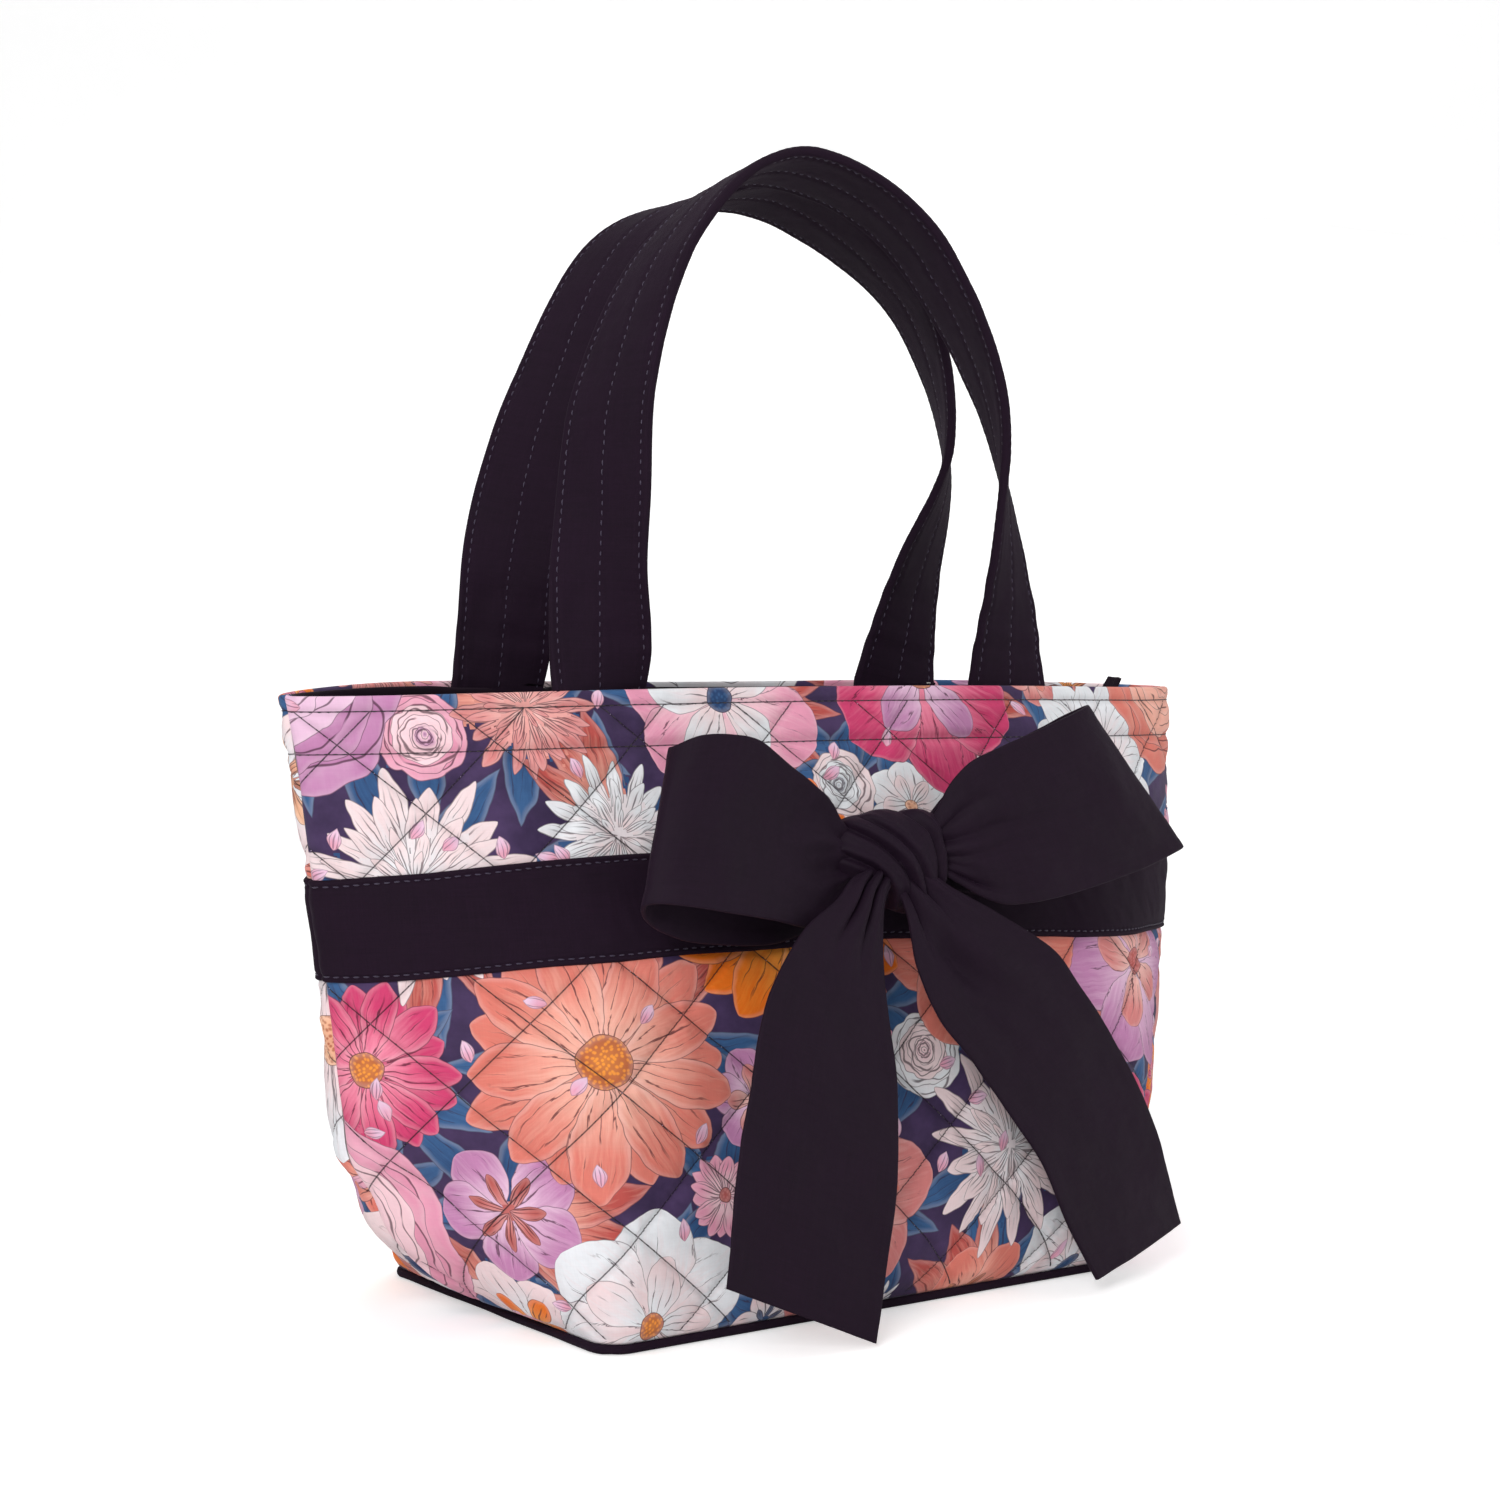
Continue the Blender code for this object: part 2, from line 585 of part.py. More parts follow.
def add_handles():
    for side, word in SIDES.items():
        rim_top = RIM_Z + RIM_RISE[side]
        frames = strap_frames(STRAP_STATIONS[side], rim_top + STRAP_CLEAR, 45)
        rim_y = wall(side, np.array([HINGE_U]), 1.0)[0, 1]
        hinge = (0.0, rim_y + side * HINGE_OFFSET, rim_top + HINGE_OFFSET)
        sleeve = tube_solid(strap_rings(frames, 0.0), strap_rings(frames, STRAP_WALL))
        add_object(word + "_handle", sleeve, "plum", hinge, 30)
        core = bar_solid(strap_rings(frames, STRAP_WALL + GAP))
        add_object(word + "_handle_core", core, "wadding", hinge, 30)


# ----------------------------------------------------------------------------
# ribbon bow
# ----------------------------------------------------------------------------
RIBBON_W = 0.061
RIBBON_T = 0.0014
KNOT_X, KNOT_Z = 0.004, 0.154
KNOT_HALF = (0.0175, 0.0125, 0.0165)
KNOT_CLEAR = 0.0020     # knot from the front face
KNOT_POWER = 3.2        # 2 would be an ellipsoid, higher is boxier
KNOT_WEDGE = 0.10       # the knot gets lower to the right by this share
KNOT_TURN = math.radians(14)
LOOP_CLEAR = 0.0026     # back of the loops from the front face
CUT_START = 0.6         # a slanted end builds up from this share of the length


def front_y(x, z):
    """y just clear of the band's outside on the bag's front, at x and z."""
    return float(wall_y(FRONT, x, z, u_limit=0.8, samples=65)) - GAP - BAND_T - GAP / 2


KNOT_Y = front_y(KNOT_X, KNOT_Z) - KNOT_HALF[1] - KNOT_CLEAR
TAIL_Y = KNOT_Y - 0.002
TAIL_Z = 0.1350
LEFT_TAIL_ORIGIN = (-0.006, TAIL_Y, TAIL_Z)
RIGHT_TAIL_ORIGIN = (0.016, TAIL_Y, TAIL_Z)

FULL = RIBBON_W / MM
# y of the backs of the loops, in millimetres from the knot's centre
LEFT_BACK = (front_y(-0.030, 0.135) - LOOP_CLEAR - KNOT_Y) / MM
RIGHT_BACK = (front_y(0.040, 0.138) - LOOP_CLEAR - KNOT_Y) / MM

# ribbon stations: x, y from the knot's centre, z and width in millimetres,
# then the x, y, z of the direction the width runs in
LOOP_LEFT = [
    (-16, -4, 158, 24, -.10, 0, 1),
    (-38, -14, 164, 46, .02, 0, 1),
    (-66, -17, 169, 59, .14, 0, 1),
    (-88, -10, 173, FULL, .25, 0, 1),
    (-96, -1, 174, FULL, .28, 0, 1),
    (-86, 3, 173, FULL, .26, 0, 1),
    (-56, LEFT_BACK, 166, 58, .14, 0, 1),
    (-17, 5, 157, 24, -.05, 0, 1)]
LOOP_RIGHT = [
    (24, -4, 157, 24, .10, 0, 1),
    (46, -13, 166, 46, -.10, 0, 1),
    (76, -16, 175, 57, -.32, 0, 1),
    (100, -11, 181, FULL, -.60, 0, 1),
    (109, -3, 183, FULL, -.66, 0, 1),
    (99, 2, 181, FULL, -.60, 0, 1),
    (62, RIGHT_BACK, 171, 56, -.28, 0, 1),
    (25, 5, 157, 24, .08, 0, 1)]
TAIL_LEFT = [
    (-8, -3, 133, 20, 1, 0, .35),
    (-28, -10, 120, 40, 1, -.05, .25),
    (-41, -16, 96, 58, 1, -.06, .10),
    (-50, -20, 56, FULL, 1, -.08, .06),
    (-59, -24, 17, FULL, 1, -.10, .10)]
TAIL_RIGHT = [
    (18, -3, 133, 20, 1, 0, .15),
    (38, -7, 113, 42, 1, .08, .45),
    (57, -10, 89, 58, 1, .16, .50),
    (80, -10, 54, FULL, 1, .24, .42),
    (104, -8, 17, FULL, 1, .28, .36)]


def add_knot():
    """A rounded, slightly wedge-shaped block turned about Y."""
    bm = bmesh.new()
    bmesh.ops.create_cube(bm, size=2.0)
    bmesh.ops.subdivide_edges(bm, edges=bm.edges[:], cuts=5, use_grid_fill=True)
    cos, sin = math.cos(KNOT_TURN), math.sin(KNOT_TURN)
    for vert in bm.verts:
        radius = sum(abs(c) ** KNOT_POWER for c in vert.co) ** (1 / KNOT_POWER)
        x, y, z = (c / radius for c in vert.co)
        wedge = 1.0 - KNOT_WEDGE * x
        x, y, z = x * KNOT_HALF[0], y * KNOT_HALF[1], z * KNOT_HALF[2] * wedge
        vert.co = (x * cos + z * sin, y, -x * sin + z * cos)
    knot = link_bmesh("bow_knot", bm, "plum", (KNOT_X, KNOT_Y, KNOT_Z))
    knot.data.shade_smooth()


def add_ribbon(name, stations, count, origin=(0, 0, 0), cut=0.0):
    """Ribbon through stations; `cut` is the slant of its far end, edge to edge."""
    table = np.array(stations, float)
    table[:, :4] *= MM
    table[:, 1] += KNOT_Y
    curve = spline(table, count)
    centre, width, across = curve[:, :3], curve[:, 3], curve[:, 4:7]
    tangent = unit(np.gradient(centre, axis=0))
    across = unit(across - tangent * (across * tangent).sum(1)[:, None])
    half_thick = np.cross(tangent, across) * RIBBON_T / 2
    slant = cut * np.clip((np.linspace(0, 1, count) - CUT_START) / (1 - CUT_START), 0, 1)
    middle = [centre + across * (width * u)[:, None] + tangent * (slant * u)[:, None]
              for u in np.linspace(-0.5, 0.5, 3)]
    solid = sheet_solid(np.stack([line + half_thick for line in middle], 1),
                        np.stack([line - half_thick for line in middle], 1))
    add_object(name, solid, "plum", origin, 30)


def add_bow():
    add_knot()
    add_ribbon("bow_loop_left", LOOP_LEFT, 33)
    add_ribbon("bow_loop_right", LOOP_RIGHT, 33)
    add_ribbon("bow_tail_left", TAIL_LEFT, 19, LEFT_TAIL_ORIGIN, cut=0.026)
    add_ribbon("bow_tail_right", TAIL_RIGHT, 19, RIGHT_TAIL_ORIGIN, cut=-0.004)


for old in list(bpy.data.objects):
    bpy.data.objects.remove(old, do_unlink=True)
add_walls()
add_base()
add_zip()
add_handles()
add_bow()
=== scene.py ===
"""Looks for the quilted knitting tote: soft goods, print, stitching, studio."""
import bpy
import math
import numpy as np
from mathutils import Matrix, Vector


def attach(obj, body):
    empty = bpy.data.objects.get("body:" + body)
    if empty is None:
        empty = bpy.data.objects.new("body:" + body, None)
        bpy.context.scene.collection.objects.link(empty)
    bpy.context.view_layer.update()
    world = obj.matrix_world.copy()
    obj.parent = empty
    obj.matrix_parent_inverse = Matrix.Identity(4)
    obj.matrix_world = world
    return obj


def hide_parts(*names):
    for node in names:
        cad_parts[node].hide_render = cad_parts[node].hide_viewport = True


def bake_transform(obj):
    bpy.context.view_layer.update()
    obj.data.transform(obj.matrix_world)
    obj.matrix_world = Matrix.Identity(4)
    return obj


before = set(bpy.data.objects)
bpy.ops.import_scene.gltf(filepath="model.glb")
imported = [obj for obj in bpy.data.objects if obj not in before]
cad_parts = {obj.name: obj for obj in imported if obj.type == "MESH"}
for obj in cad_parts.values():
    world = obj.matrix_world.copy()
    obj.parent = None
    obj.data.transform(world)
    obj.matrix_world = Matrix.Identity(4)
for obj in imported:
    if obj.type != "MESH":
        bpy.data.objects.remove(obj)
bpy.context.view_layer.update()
PI = math.pi

# ---------------------------------------------------------------- dimensions
BASE_W, BASE_D, BASE_T, BASE_R = 0.221, 0.148, 0.0030, 0.010
RIM_HALF, RIM_Y, FRONT_SAG, BACK_SAG = 0.195, -0.0134, 0.0332, 0.0575
RIM_Z, FRONT_RISE, BACK_RISE = 0.2135, 0.0030, 0.0045
BELLY, BELLY_FRONT, SLUMP, CORNER_GROW, FLARE, GAP = 0.0127, 0.6, 0.0105, 0.034, 0.55, 0.0003
BAND_LOW, BAND_HIGH, FACING_LOW = 0.557, 0.720, 0.912
STRAP_W, STRAP_T = 0.039, 0.0032
FRONT_STRAP = [(-90, -37, 215, 95), (-88, -37, 265, 33), (-82, -35, 319, 11),
               (-56, -32, 371, -4), (-10, -28, 400, -9), (45, -32, 382, 4),
               (81, -36, 327, 22), (91, -37, 270, 53), (91, -37, 215, 87)]
BACK_STRAP = [(-90, 31, 215, 95), (-83, 29, 269, 43), (-69, 25, 324, 21),
              (-37, 21, 380.5, 6), (22, 17, 398.5, -9), (86, 19, 365, 11),
              (110, 22, 308, 37), (100, 29, 256, 65), (91, 31, 215, 90)]
HALF_MM, TALL_MM = 205.0, 222.0     # cloth lengths for u = 1 and h = 1
QX, QS, QX0, QS0 = 53.0, 48.5, -136.0, 109.3      # quilting diamonds


# ---------------------------------------------------------------- small maths
def unit(v):
    return v / np.maximum(np.linalg.norm(v, axis=-1, keepdims=True), 1e-12)


def sstep(v, a, b):
    t = np.clip((v - a) / (b - a), 0, 1)
    return t * t * (3 - 2 * t)


def gauss(v, w):
    return np.exp(-(v / w) ** 2)


_tabs = {}


def vnoise(x, y, seed=0):
    """Smooth value noise in -1..1."""
    if seed not in _tabs:
        _tabs[seed] = np.random.default_rng(1000 + seed).random((64, 64)) * 2 - 1
    tab = _tabs[seed]
    x, y = np.broadcast_arrays(np.asarray(x, float), np.asarray(y, float))
    xi, yi = np.floor(x).astype(int), np.floor(y).astype(int)
    fx, fy = x - xi, y - yi
    fx, fy = fx * fx * (3 - 2 * fx), fy * fy * (3 - 2 * fy)
    a, b = tab[xi % 64, yi % 64], tab[(xi + 1) % 64, yi % 64]
    c, d = tab[xi % 64, (yi + 1) % 64], tab[(xi + 1) % 64, (yi + 1) % 64]
    return (a * (1 - fx) + b * fx) * (1 - fy) + (c * (1 - fx) + d * fx) * fy


def fnoise(x, y, seed=0):
    return vnoise(x, y, seed) + 0.5 * vnoise(x * 2.1 + 7, y * 2.1 + 3, seed + 1) + 0.25 * vnoise(x * 4.3, y * 4.3, seed + 2)


def spline_t(points, t):
    """Catmull-Rom through control points at parameters t (0..n-1)."""
    c = np.array(points, float)
    c = np.vstack([2 * c[0] - c[1], c, 2 * c[-1] - c[-2]])
    t = np.asarray(t, float)
    i = np.clip(t.astype(int), 0, len(points) - 2)
    f = (t - i)[:, None]
    p0, p1, p2, p3 = c[i], c[i + 1], c[i + 2], c[i + 3]
    return 0.5 * (2 * p1 + (p2 - p0) * f + (2 * p0 - 5 * p1 + 4 * p2 - p3) * f * f
                  + (3 * p1 - p0 - 3 * p2 + p3) * f ** 3)


def resample(points, s):
    """Points of a smooth curve at shares s of its length."""
    fine = spline_t(points, np.linspace(0, len(points) - 1, 60 * len(points)))
    d = np.concatenate([[0], np.cumsum(np.linalg.norm(np.diff(fine, axis=0), axis=1))])
    d /= d[-1]
    return np.stack([np.interp(s, d, fine[:, k]) for k in range(fine.shape[1])], 1)


# ---------------------------------------------------------------- wall surface
def rect_curve(t, r):
    a, d = BASE_W / 2, BASE_D / 2
    half = (a - r) + PI * r / 2 + (d - r)
    s = np.abs(t) * half
    phi = np.clip((s - (a - r)) / r, 0, PI / 2)
    x = np.minimum(s, a - r) + r * np.sin(phi)
    y = -d + r * (1 - np.cos(phi)) + np.maximum(s - (a - r) - PI * r / 2, 0)
    return np.sign(t) * x, y


def lens_curve(t, sag):
    q = np.sin(np.linspace(0, PI / 2, 1201))
    x = RIM_HALF * q
    y = -sag * np.clip(1 - q ** 2.2, 0, 1) ** 0.62
    s = np.concatenate([[0], np.cumsum(np.hypot(np.diff(x), np.diff(y)))])
    s /= s[-1]
    at = np.abs(t)
    return np.sign(t) * np.interp(at, s, x), np.interp(at, s, y)


def wall(side, u, h):
    u, h = np.broadcast_arrays(np.asarray(u, float), np.clip(np.asarray(h, float), 0, 1))
    sag, rise = (FRONT_SAG, FRONT_RISE) if side < 0 else (BACK_SAG, BACK_RISE)
    xb, yb = rect_curve(u, BASE_R + CORNER_GROW * h)
    xt, yt = lens_curve(u, sag)
    wx = FLARE * (1 - (1 - h) ** 8) + (1 - FLARE) * h
    wy = h ** 1.12
    x = xb * (1 - wx) + xt * wx
    y = yb * (1 - wy) + yt * wy
    nx, ny = x / 0.022, y / 0.010 + 1e-9
    ln = np.hypot(nx, ny)
    swell = BELLY * np.abs(np.sin(PI * h ** 0.54)) ** 1.13
    x = x + swell * nx / ln + SLUMP * np.abs(np.sin(PI * h ** 0.7)) ** 0.9
    y = (y + BELLY_FRONT * swell * ny / ln) * (-side) + RIM_Y * wy + side * GAP / 2
    z = BASE_T + GAP + (RIM_Z + rise * (1 - u * u) - BASE_T - GAP) * h
    if side < 0:
        z = z - 0.0012 * (1 - u ** 8) * h ** 6
    else:
        z = z + (0.0011 * gauss(u + 0.65, 0.25) - 0.0020 * gauss(u - 0.05, 0.45)) * h ** 6
    return np.stack([x, y, z], -1)


def wall_n(side, u, h):
    """Outward normal of the wall."""
    e = 2e-3
    u = np.clip(u, -1, 1)
    h = np.asarray(h, float)
    du = wall(side, np.clip(u + e, -1, 1), h) - wall(side, np.clip(u - e, -1, 1), h)
    dh = wall(side, u, np.clip(h + e, 0, 1)) - wall(side, u, np.clip(h - e, 0, 1))
    return unit(np.cross(du, dh)) * (1.0 if side < 0 else -1.0)


def line_gap(x, s):
    """Distance in mm to the two families of quilting lines."""
    a = (x - QX0) / QX + (s - QS0) / QS
    b = (x - QX0) / QX - (s - QS0) / QS
    k = math.hypot(1 / QX, 1 / QS)
    return np.abs(a - np.round(a)) / k, np.abs(b - np.round(b)) / k


ROW1, ROW2 = TALL_MM - 4.2, TALL_MM - 19.0        # topstitch rows under the rim


def band_lift(side, x):
    """How far in mm the sewn band rides above its level at the seams."""
    if side > 0:
        return 0.0 * x
    return 5.8 * sstep(x, -205, -92) * (1 - sstep(x, 0, 125)) - 3.0 * sstep(x, 105, 190)


def puff(side, x, s):
    """Outward quilting relief in mm at cloth position x, s."""
    da, db = line_gap(x, s)
    d = np.minimum(da, db)
    p = 2.15 * (1 - np.exp(-(d / 5.2) ** 0.85)) - 0.25 * gauss(d, 0.7)
    # little tucks along the stitched lines
    tuck = gauss(d - 1.6, 1.6) * 0.22 * np.sin((s * 0.9 + x * 0.55) * 1.9 + 3 * vnoise(x / 9, s / 9, 5))
    p = p + tuck
    p = p + 0.34 * fnoise(x / 11, s / 11, 11)
    rows = np.minimum(np.abs(s - ROW1), np.abs(s - ROW2))
    p = p * (1 - 0.85 * gauss(rows, 2.4)) - 0.25 * gauss(rows, 1.0)
    p = p + 0.10 * gauss(rows - 1.5, 1.2) * np.sin(x * 2.0 + 2 * vnoise(x / 7, s / 5, 8))
    top = sstep(s, ROW1, TALL_MM)
    p = p * (1 - top) + 0.55 * top
    lo, hi = BAND_LOW * TALL_MM + band_lift(side, x), BAND_HIGH * TALL_MM + band_lift(side, x)
    band = sstep(s - lo, -3, 2) * (1 - sstep(s - hi, -2, 3))
    p = p * (1 - band) + 0.25 * band
    p = p * sstep(s, 0, 7)
    edge = HALF_MM - np.abs(x)
    p = p * sstep(edge, 0, 6) - 1.3 * gauss(np.maximum(edge, 0), 1.1)
    return p


def slack(side, x, s):
    """Slow hollows and bulges of the standing cloth body, in mm."""
    v = 1.0 * fnoise(x / 62 + 3, s / 55 + side, 21)
    low = sstep(s, 5, 40) * (1 - sstep(s, 70, 130))
    left = sstep(-x, 120, 175)
    v = v - 2.0 * low * left * gauss(s - 48 - 0.25 * (x + 190), 9)
    v = v + 1.2 * low * left * gauss(s - 66 - 0.25 * (x + 190), 9)
    return v * sstep(s, 0, 30) * (1 - sstep(s, 185, TALL_MM))


def skin(side, x, s, off):
    """Point on the wall at cloth position, moved out by off (mm) plus the slack."""
    u, h = np.clip(x / HALF_MM, -1, 1), np.clip(s / TALL_MM, 0, 1)
    p, n = wall(side, u, h), wall_n(side, u, h)
    return p + n * ((off + slack(side, x, s)) * 0.001)[..., None], n


# ---------------------------------------------------------------- mesh building
def grid_faces(n, m, wrap=False, flip=False):
    i = np.arange(n - 1)[:, None]
    j = np.arange(m if wrap else m - 1)[None, :]
    j2 = (j + 1) % m
    a, b, c, d = i * m + j, i * m + j2, (i + 1) * m + j2, (i + 1) * m + j
    f = np.stack([a + 0 * b, b, c, d + 0 * c], -1).reshape(-1, 4)
    return f[:, ::-1] if flip else f


def make(name, verts, faces, mat, uv=None, smooth=True):
    """Mesh object from arrays; uv is per vertex (mm of cloth)."""
    verts = np.asarray(verts, float).reshape(-1, 3)
    me = bpy.data.meshes.new(name)
    me.from_pydata(verts.tolist(), [], faces if isinstance(faces, list) else faces.tolist())
    if uv is not None:
        lay = me.uv_layers.new(name="cloth")
        idx = np.zeros(len(me.loops), np.int32)
        me.loops.foreach_get("vertex_index", idx)
        lay.data.foreach_set("uv", (np.asarray(uv, float).reshape(-1, 2)[idx] * 0.001).astype(np.float32).ravel())
    if smooth:
        me.shade_smooth()
    ob = bpy.data.objects.new(name, me)
    bpy.context.scene.collection.objects.link(ob)
    for mm in (mat if isinstance(mat, (list, tuple)) else [mat]):
        me.materials.append(mm)
    return ob


def closed_sheet(name, a, b, uv, mat):
    """Two grids of points, a facing out and b behind it, joined round the edge."""
    n, m = a.shape[:2]
    k = n * m
    fa = grid_faces(n, m)
    fb = grid_faces(n, m)[:, ::-1] + k
    ring = np.concatenate([np.arange(m), np.arange(1, n) * m + m - 1,
                           (n - 1) * m + np.arange(m - 2, -1, -1), np.arange(n - 2, 0, -1) * m])
    r2 = np.roll(ring, -1)
    side = np.stack([ring, ring + k, r2 + k, r2], 1)
    v = np.concatenate([a.reshape(-1, 3), b.reshape(-1, 3)])
    uv2 = np.concatenate([uv.reshape(-1, 2), uv.reshape(-1, 2)])
    ob = make(name, v, np.concatenate([fa, fb, side]), mat, uv2)
    fix_out(ob)
    return ob


def fix_out(ob):
    import bmesh
    bm = bmesh.new()
    bm.from_mesh(ob.data)
    bmesh.ops.recalc_face_normals(bm, faces=bm.faces[:])
    bm.to_mesh(ob.data)
    bm.free()


def grid_normals(p, towards=None):
    n = unit(np.cross(np.gradient(p, axis=0), np.gradient(p, axis=1)))
    return n


def stitch_set(name, pts, dirs, nrm, length, rad, mat, lift=0.55, rings=4):
    """Thread stitches lying on cloth: pts, dirs, nrm (k,3) in metres."""
    pts, dirs, nrm = np.asarray(pts), unit(np.asarray(dirs)), unit(np.asarray(nrm))
    nrm = unit(nrm - dirs * (nrm * dirs).sum(-1, keepdims=True))
    side = np.cross(dirs, nrm)
    sides = 5
    s = np.linspace(-1, 1, rings)
    prof = np.where(np.abs(s) > 0.9, 0.45, 1.0)
    rise = np.where(np.abs(s) > 0.9, -0.9, lift)
    ang = np.arange(sides) * 2 * PI / sides
    ln = np.asarray(length, float).reshape(-1, 1, 1, 1) if np.ndim(length) else length
    v = (pts[:, None, None, :] + dirs[:, None, None, :] * (s[None, :, None, None] * ln * 0.5)
         + nrm[:, None, None, :] * (rad * (rise[None, :, None, None] + prof[None, :, None, None] * np.sin(ang)[None, None, :, None]))
         + side[:, None, None, :] * (rad * prof[None, :, None, None] * np.cos(ang)[None, None, :, None]))
    k = len(pts)
    f = grid_faces(rings, sides, wrap=True)
    f = (f[None] + (np.arange(k) * rings * sides)[:, None, None]).reshape(-1, 4)
    uv = np.zeros((k, rings, sides, 2))
    uv[..., 0] = np.arange(k)[:, None, None] * 1.7 + s[None, :, None]
    uv[..., 1] = ang[None, None, :]
    return make(name, v, f, mat, uv)


# ---------------------------------------------------------------- node helpers
def lin(r, g, b):
    out = []
    for c in (r, g, b):
        c /= 255.0
        out.append(c / 12.92 if c <= 0.04045 else ((c + 0.055) / 1.055) ** 2.4)
    return (*out, 1.0)


class Nodes:
    def __init__(self, tree):
        self.t, self.n, self.l = tree, tree.nodes, tree.links

    def put(self, socket, v):
        if isinstance(v, bpy.types.NodeSocket):
            self.l.new(v, socket)
        elif v is not None:
            socket.default_value = v

    def new(self, kind, **props):
        node = self.n.new(kind)
        for k, v in props.items():
            setattr(node, k, v)
        return node

    def m(self, op, *args, clamp=False):
        node = self.new("ShaderNodeMath", operation=op, use_clamp=clamp)
        for i, v in enumerate(args):
            self.put(node.inputs[i], v)
        return node.outputs[0]

    def mix(self, f, a, b, mode="MIX"):
        node = self.new("ShaderNodeMix", data_type="RGBA", blend_type=mode)
        self.put(node.inputs[0], f)
        self.put(node.inputs[6], a)
        self.put(node.inputs[7], b)
        return node.outputs[2]

    def ss(self, v, lo, hi, a=0.0, b=1.0):
        node = self.new("ShaderNodeMapRange", interpolation_type="SMOOTHSTEP")
        for i, x in enumerate((v, lo, hi, a, b)):
            self.put(node.inputs[i], x)
        return node.outputs[0]

    def noise(self, vec, scale, detail=2.0, rough=0.5, out="Fac"):
        node = self.new("ShaderNodeTexNoise", noise_dimensions="3D")
        self.put(node.inputs["Vector"], vec)
        self.put(node.inputs["Scale"], scale)
        self.put(node.inputs["Detail"], detail)
        self.put(node.inputs["Roughness"], rough)
        return node.outputs[out]

    def sep(self, v):
        node = self.new("ShaderNodeSeparateXYZ")
        self.put(node.inputs[0], v)
        return node.outputs[0], node.outputs[1], node.outputs[2]

    def comb(self, x, y, z):
        node = self.new("ShaderNodeCombineXYZ")
        for i, v in enumerate((x, y, z)):
            self.put(node.inputs[i], v)
        return node.outputs[0]

    def attr(self, name, out="Vector"):
        node = self.new("ShaderNodeAttribute", attribute_name=name)
        return node.outputs[out]

    def uv(self):
        """Cloth coordinates in mm."""
        node = self.new("ShaderNodeUVMap", uv_map="cloth")
        x, y, _ = self.sep(node.outputs[0])
        return self.m("MULTIPLY", x, 1000.0), self.m("MULTIPLY", y, 1000.0)

    def bump(self, height, strength, dist, normal=None):
        node = self.new("ShaderNodeBump")
        self.put(node.inputs["Height"], height)
        self.put(node.inputs["Strength"], strength)
        self.put(node.inputs["Distance"], dist)
        if normal is not None:
            self.put(node.inputs["Normal"], normal)
        return node.outputs[0]


def material(name):
    mat = bpy.data.materials.new(name)
    mat.use_nodes = True
    g = Nodes(mat.node_tree)
    bsdf = mat.node_tree.nodes["Principled BSDF"]
    return mat, g, bsdf


def weave(g, x, y, pitch):
    """Plain weave height 0..1 at cloth position in mm."""
    k = 2 * PI / pitch
    a = g.m("SINE", g.m("MULTIPLY", x, k))
    b = g.m("SINE", g.m("MULTIPLY", y, k))
    par = g.m("MULTIPLY", g.m("SINE", g.m("MULTIPLY", x, k / 2)), g.m("SINE", g.m("MULTIPLY", y, k / 2)))
    over = g.ss(par, -0.12, 0.12)
    warp = g.m("ABSOLUTE", g.m("SINE", g.m("MULTIPLY", x, k / 2)))
    weft = g.m("ABSOLUTE", g.m("SINE", g.m("MULTIPLY", y, k / 2)))
    hgt = g.m("ADD", g.m("MULTIPLY", over, warp), g.m("MULTIPLY", g.m("SUBTRACT", 1.0, over), weft))
    return hgt, over


def cloth(name, dark, light, pitch=0.42, bump=0.35, rough=0.82, sheen=0.12, sheen_tint=(0.6, 0.5, 0.65, 1), slub=0.5):
    """Plain-weave cotton with slubs, uneven dye and light wear."""
    mat, g, bsdf = material(name)
    x, y = g.uv()
    hgt, over = weave(g, x, y, pitch)
    v = g.comb(x, y, 0.0)
    big = g.noise(v, 0.035, 3.0, 0.55)
    warp = g.noise(g.comb(g.m("MULTIPLY", x, 2.2), g.m("MULTIPLY", y, 0.05), 1.0), 1.0, 2.0)
    weft = g.noise(g.comb(g.m("MULTIPLY", x, 0.05), g.m("MULTIPLY", y, 2.2), 5.0), 1.0, 2.0)
    slubs = g.m("ADD", g.m("MULTIPLY", g.m("SUBTRACT", warp, 0.5), slub), g.m("MULTIPLY", g.m("SUBTRACT", weft, 0.5), slub))
    f = g.m("ADD", g.m("ADD", g.m("MULTIPLY", big, 0.55), slubs), g.m("MULTIPLY", hgt, 0.22), clamp=True)
    col = g.mix(f, dark, light)
    wear = g.ss(g.noise(v, 0.9, 4.0, 0.7), 0.62, 0.86)
    col = g.mix(g.m("MULTIPLY", wear, 0.18), col, tuple(min(1.0, c * 2.2) for c in light[:3]) + (1.0,))
    g.put(bsdf.inputs["Base Color"], col)
    g.put(bsdf.inputs["Roughness"], g.m("ADD", rough - 0.06, g.m("MULTIPLY", big, 0.14)))
    bsdf.inputs["Specular IOR Level"].default_value = 0.14
    bsdf.inputs["Sheen Weight"].default_value = sheen
    bsdf.inputs["Sheen Roughness"].default_value = 0.45
    bsdf.inputs["Sheen Tint"].default_value = sheen_tint
    fuzz = g.noise(v, 3.0, 4.0, 0.65)
    n1 = g.bump(g.m("ADD", hgt, g.m("MULTIPLY", fuzz, 0.5)), bump, 0.00012)
    n2 = g.bump(g.noise(v, 0.12, 3.0, 0.6), 0.25, 0.0012, n1)
    g.put(bsdf.inputs["Normal"], n2)
    return mat


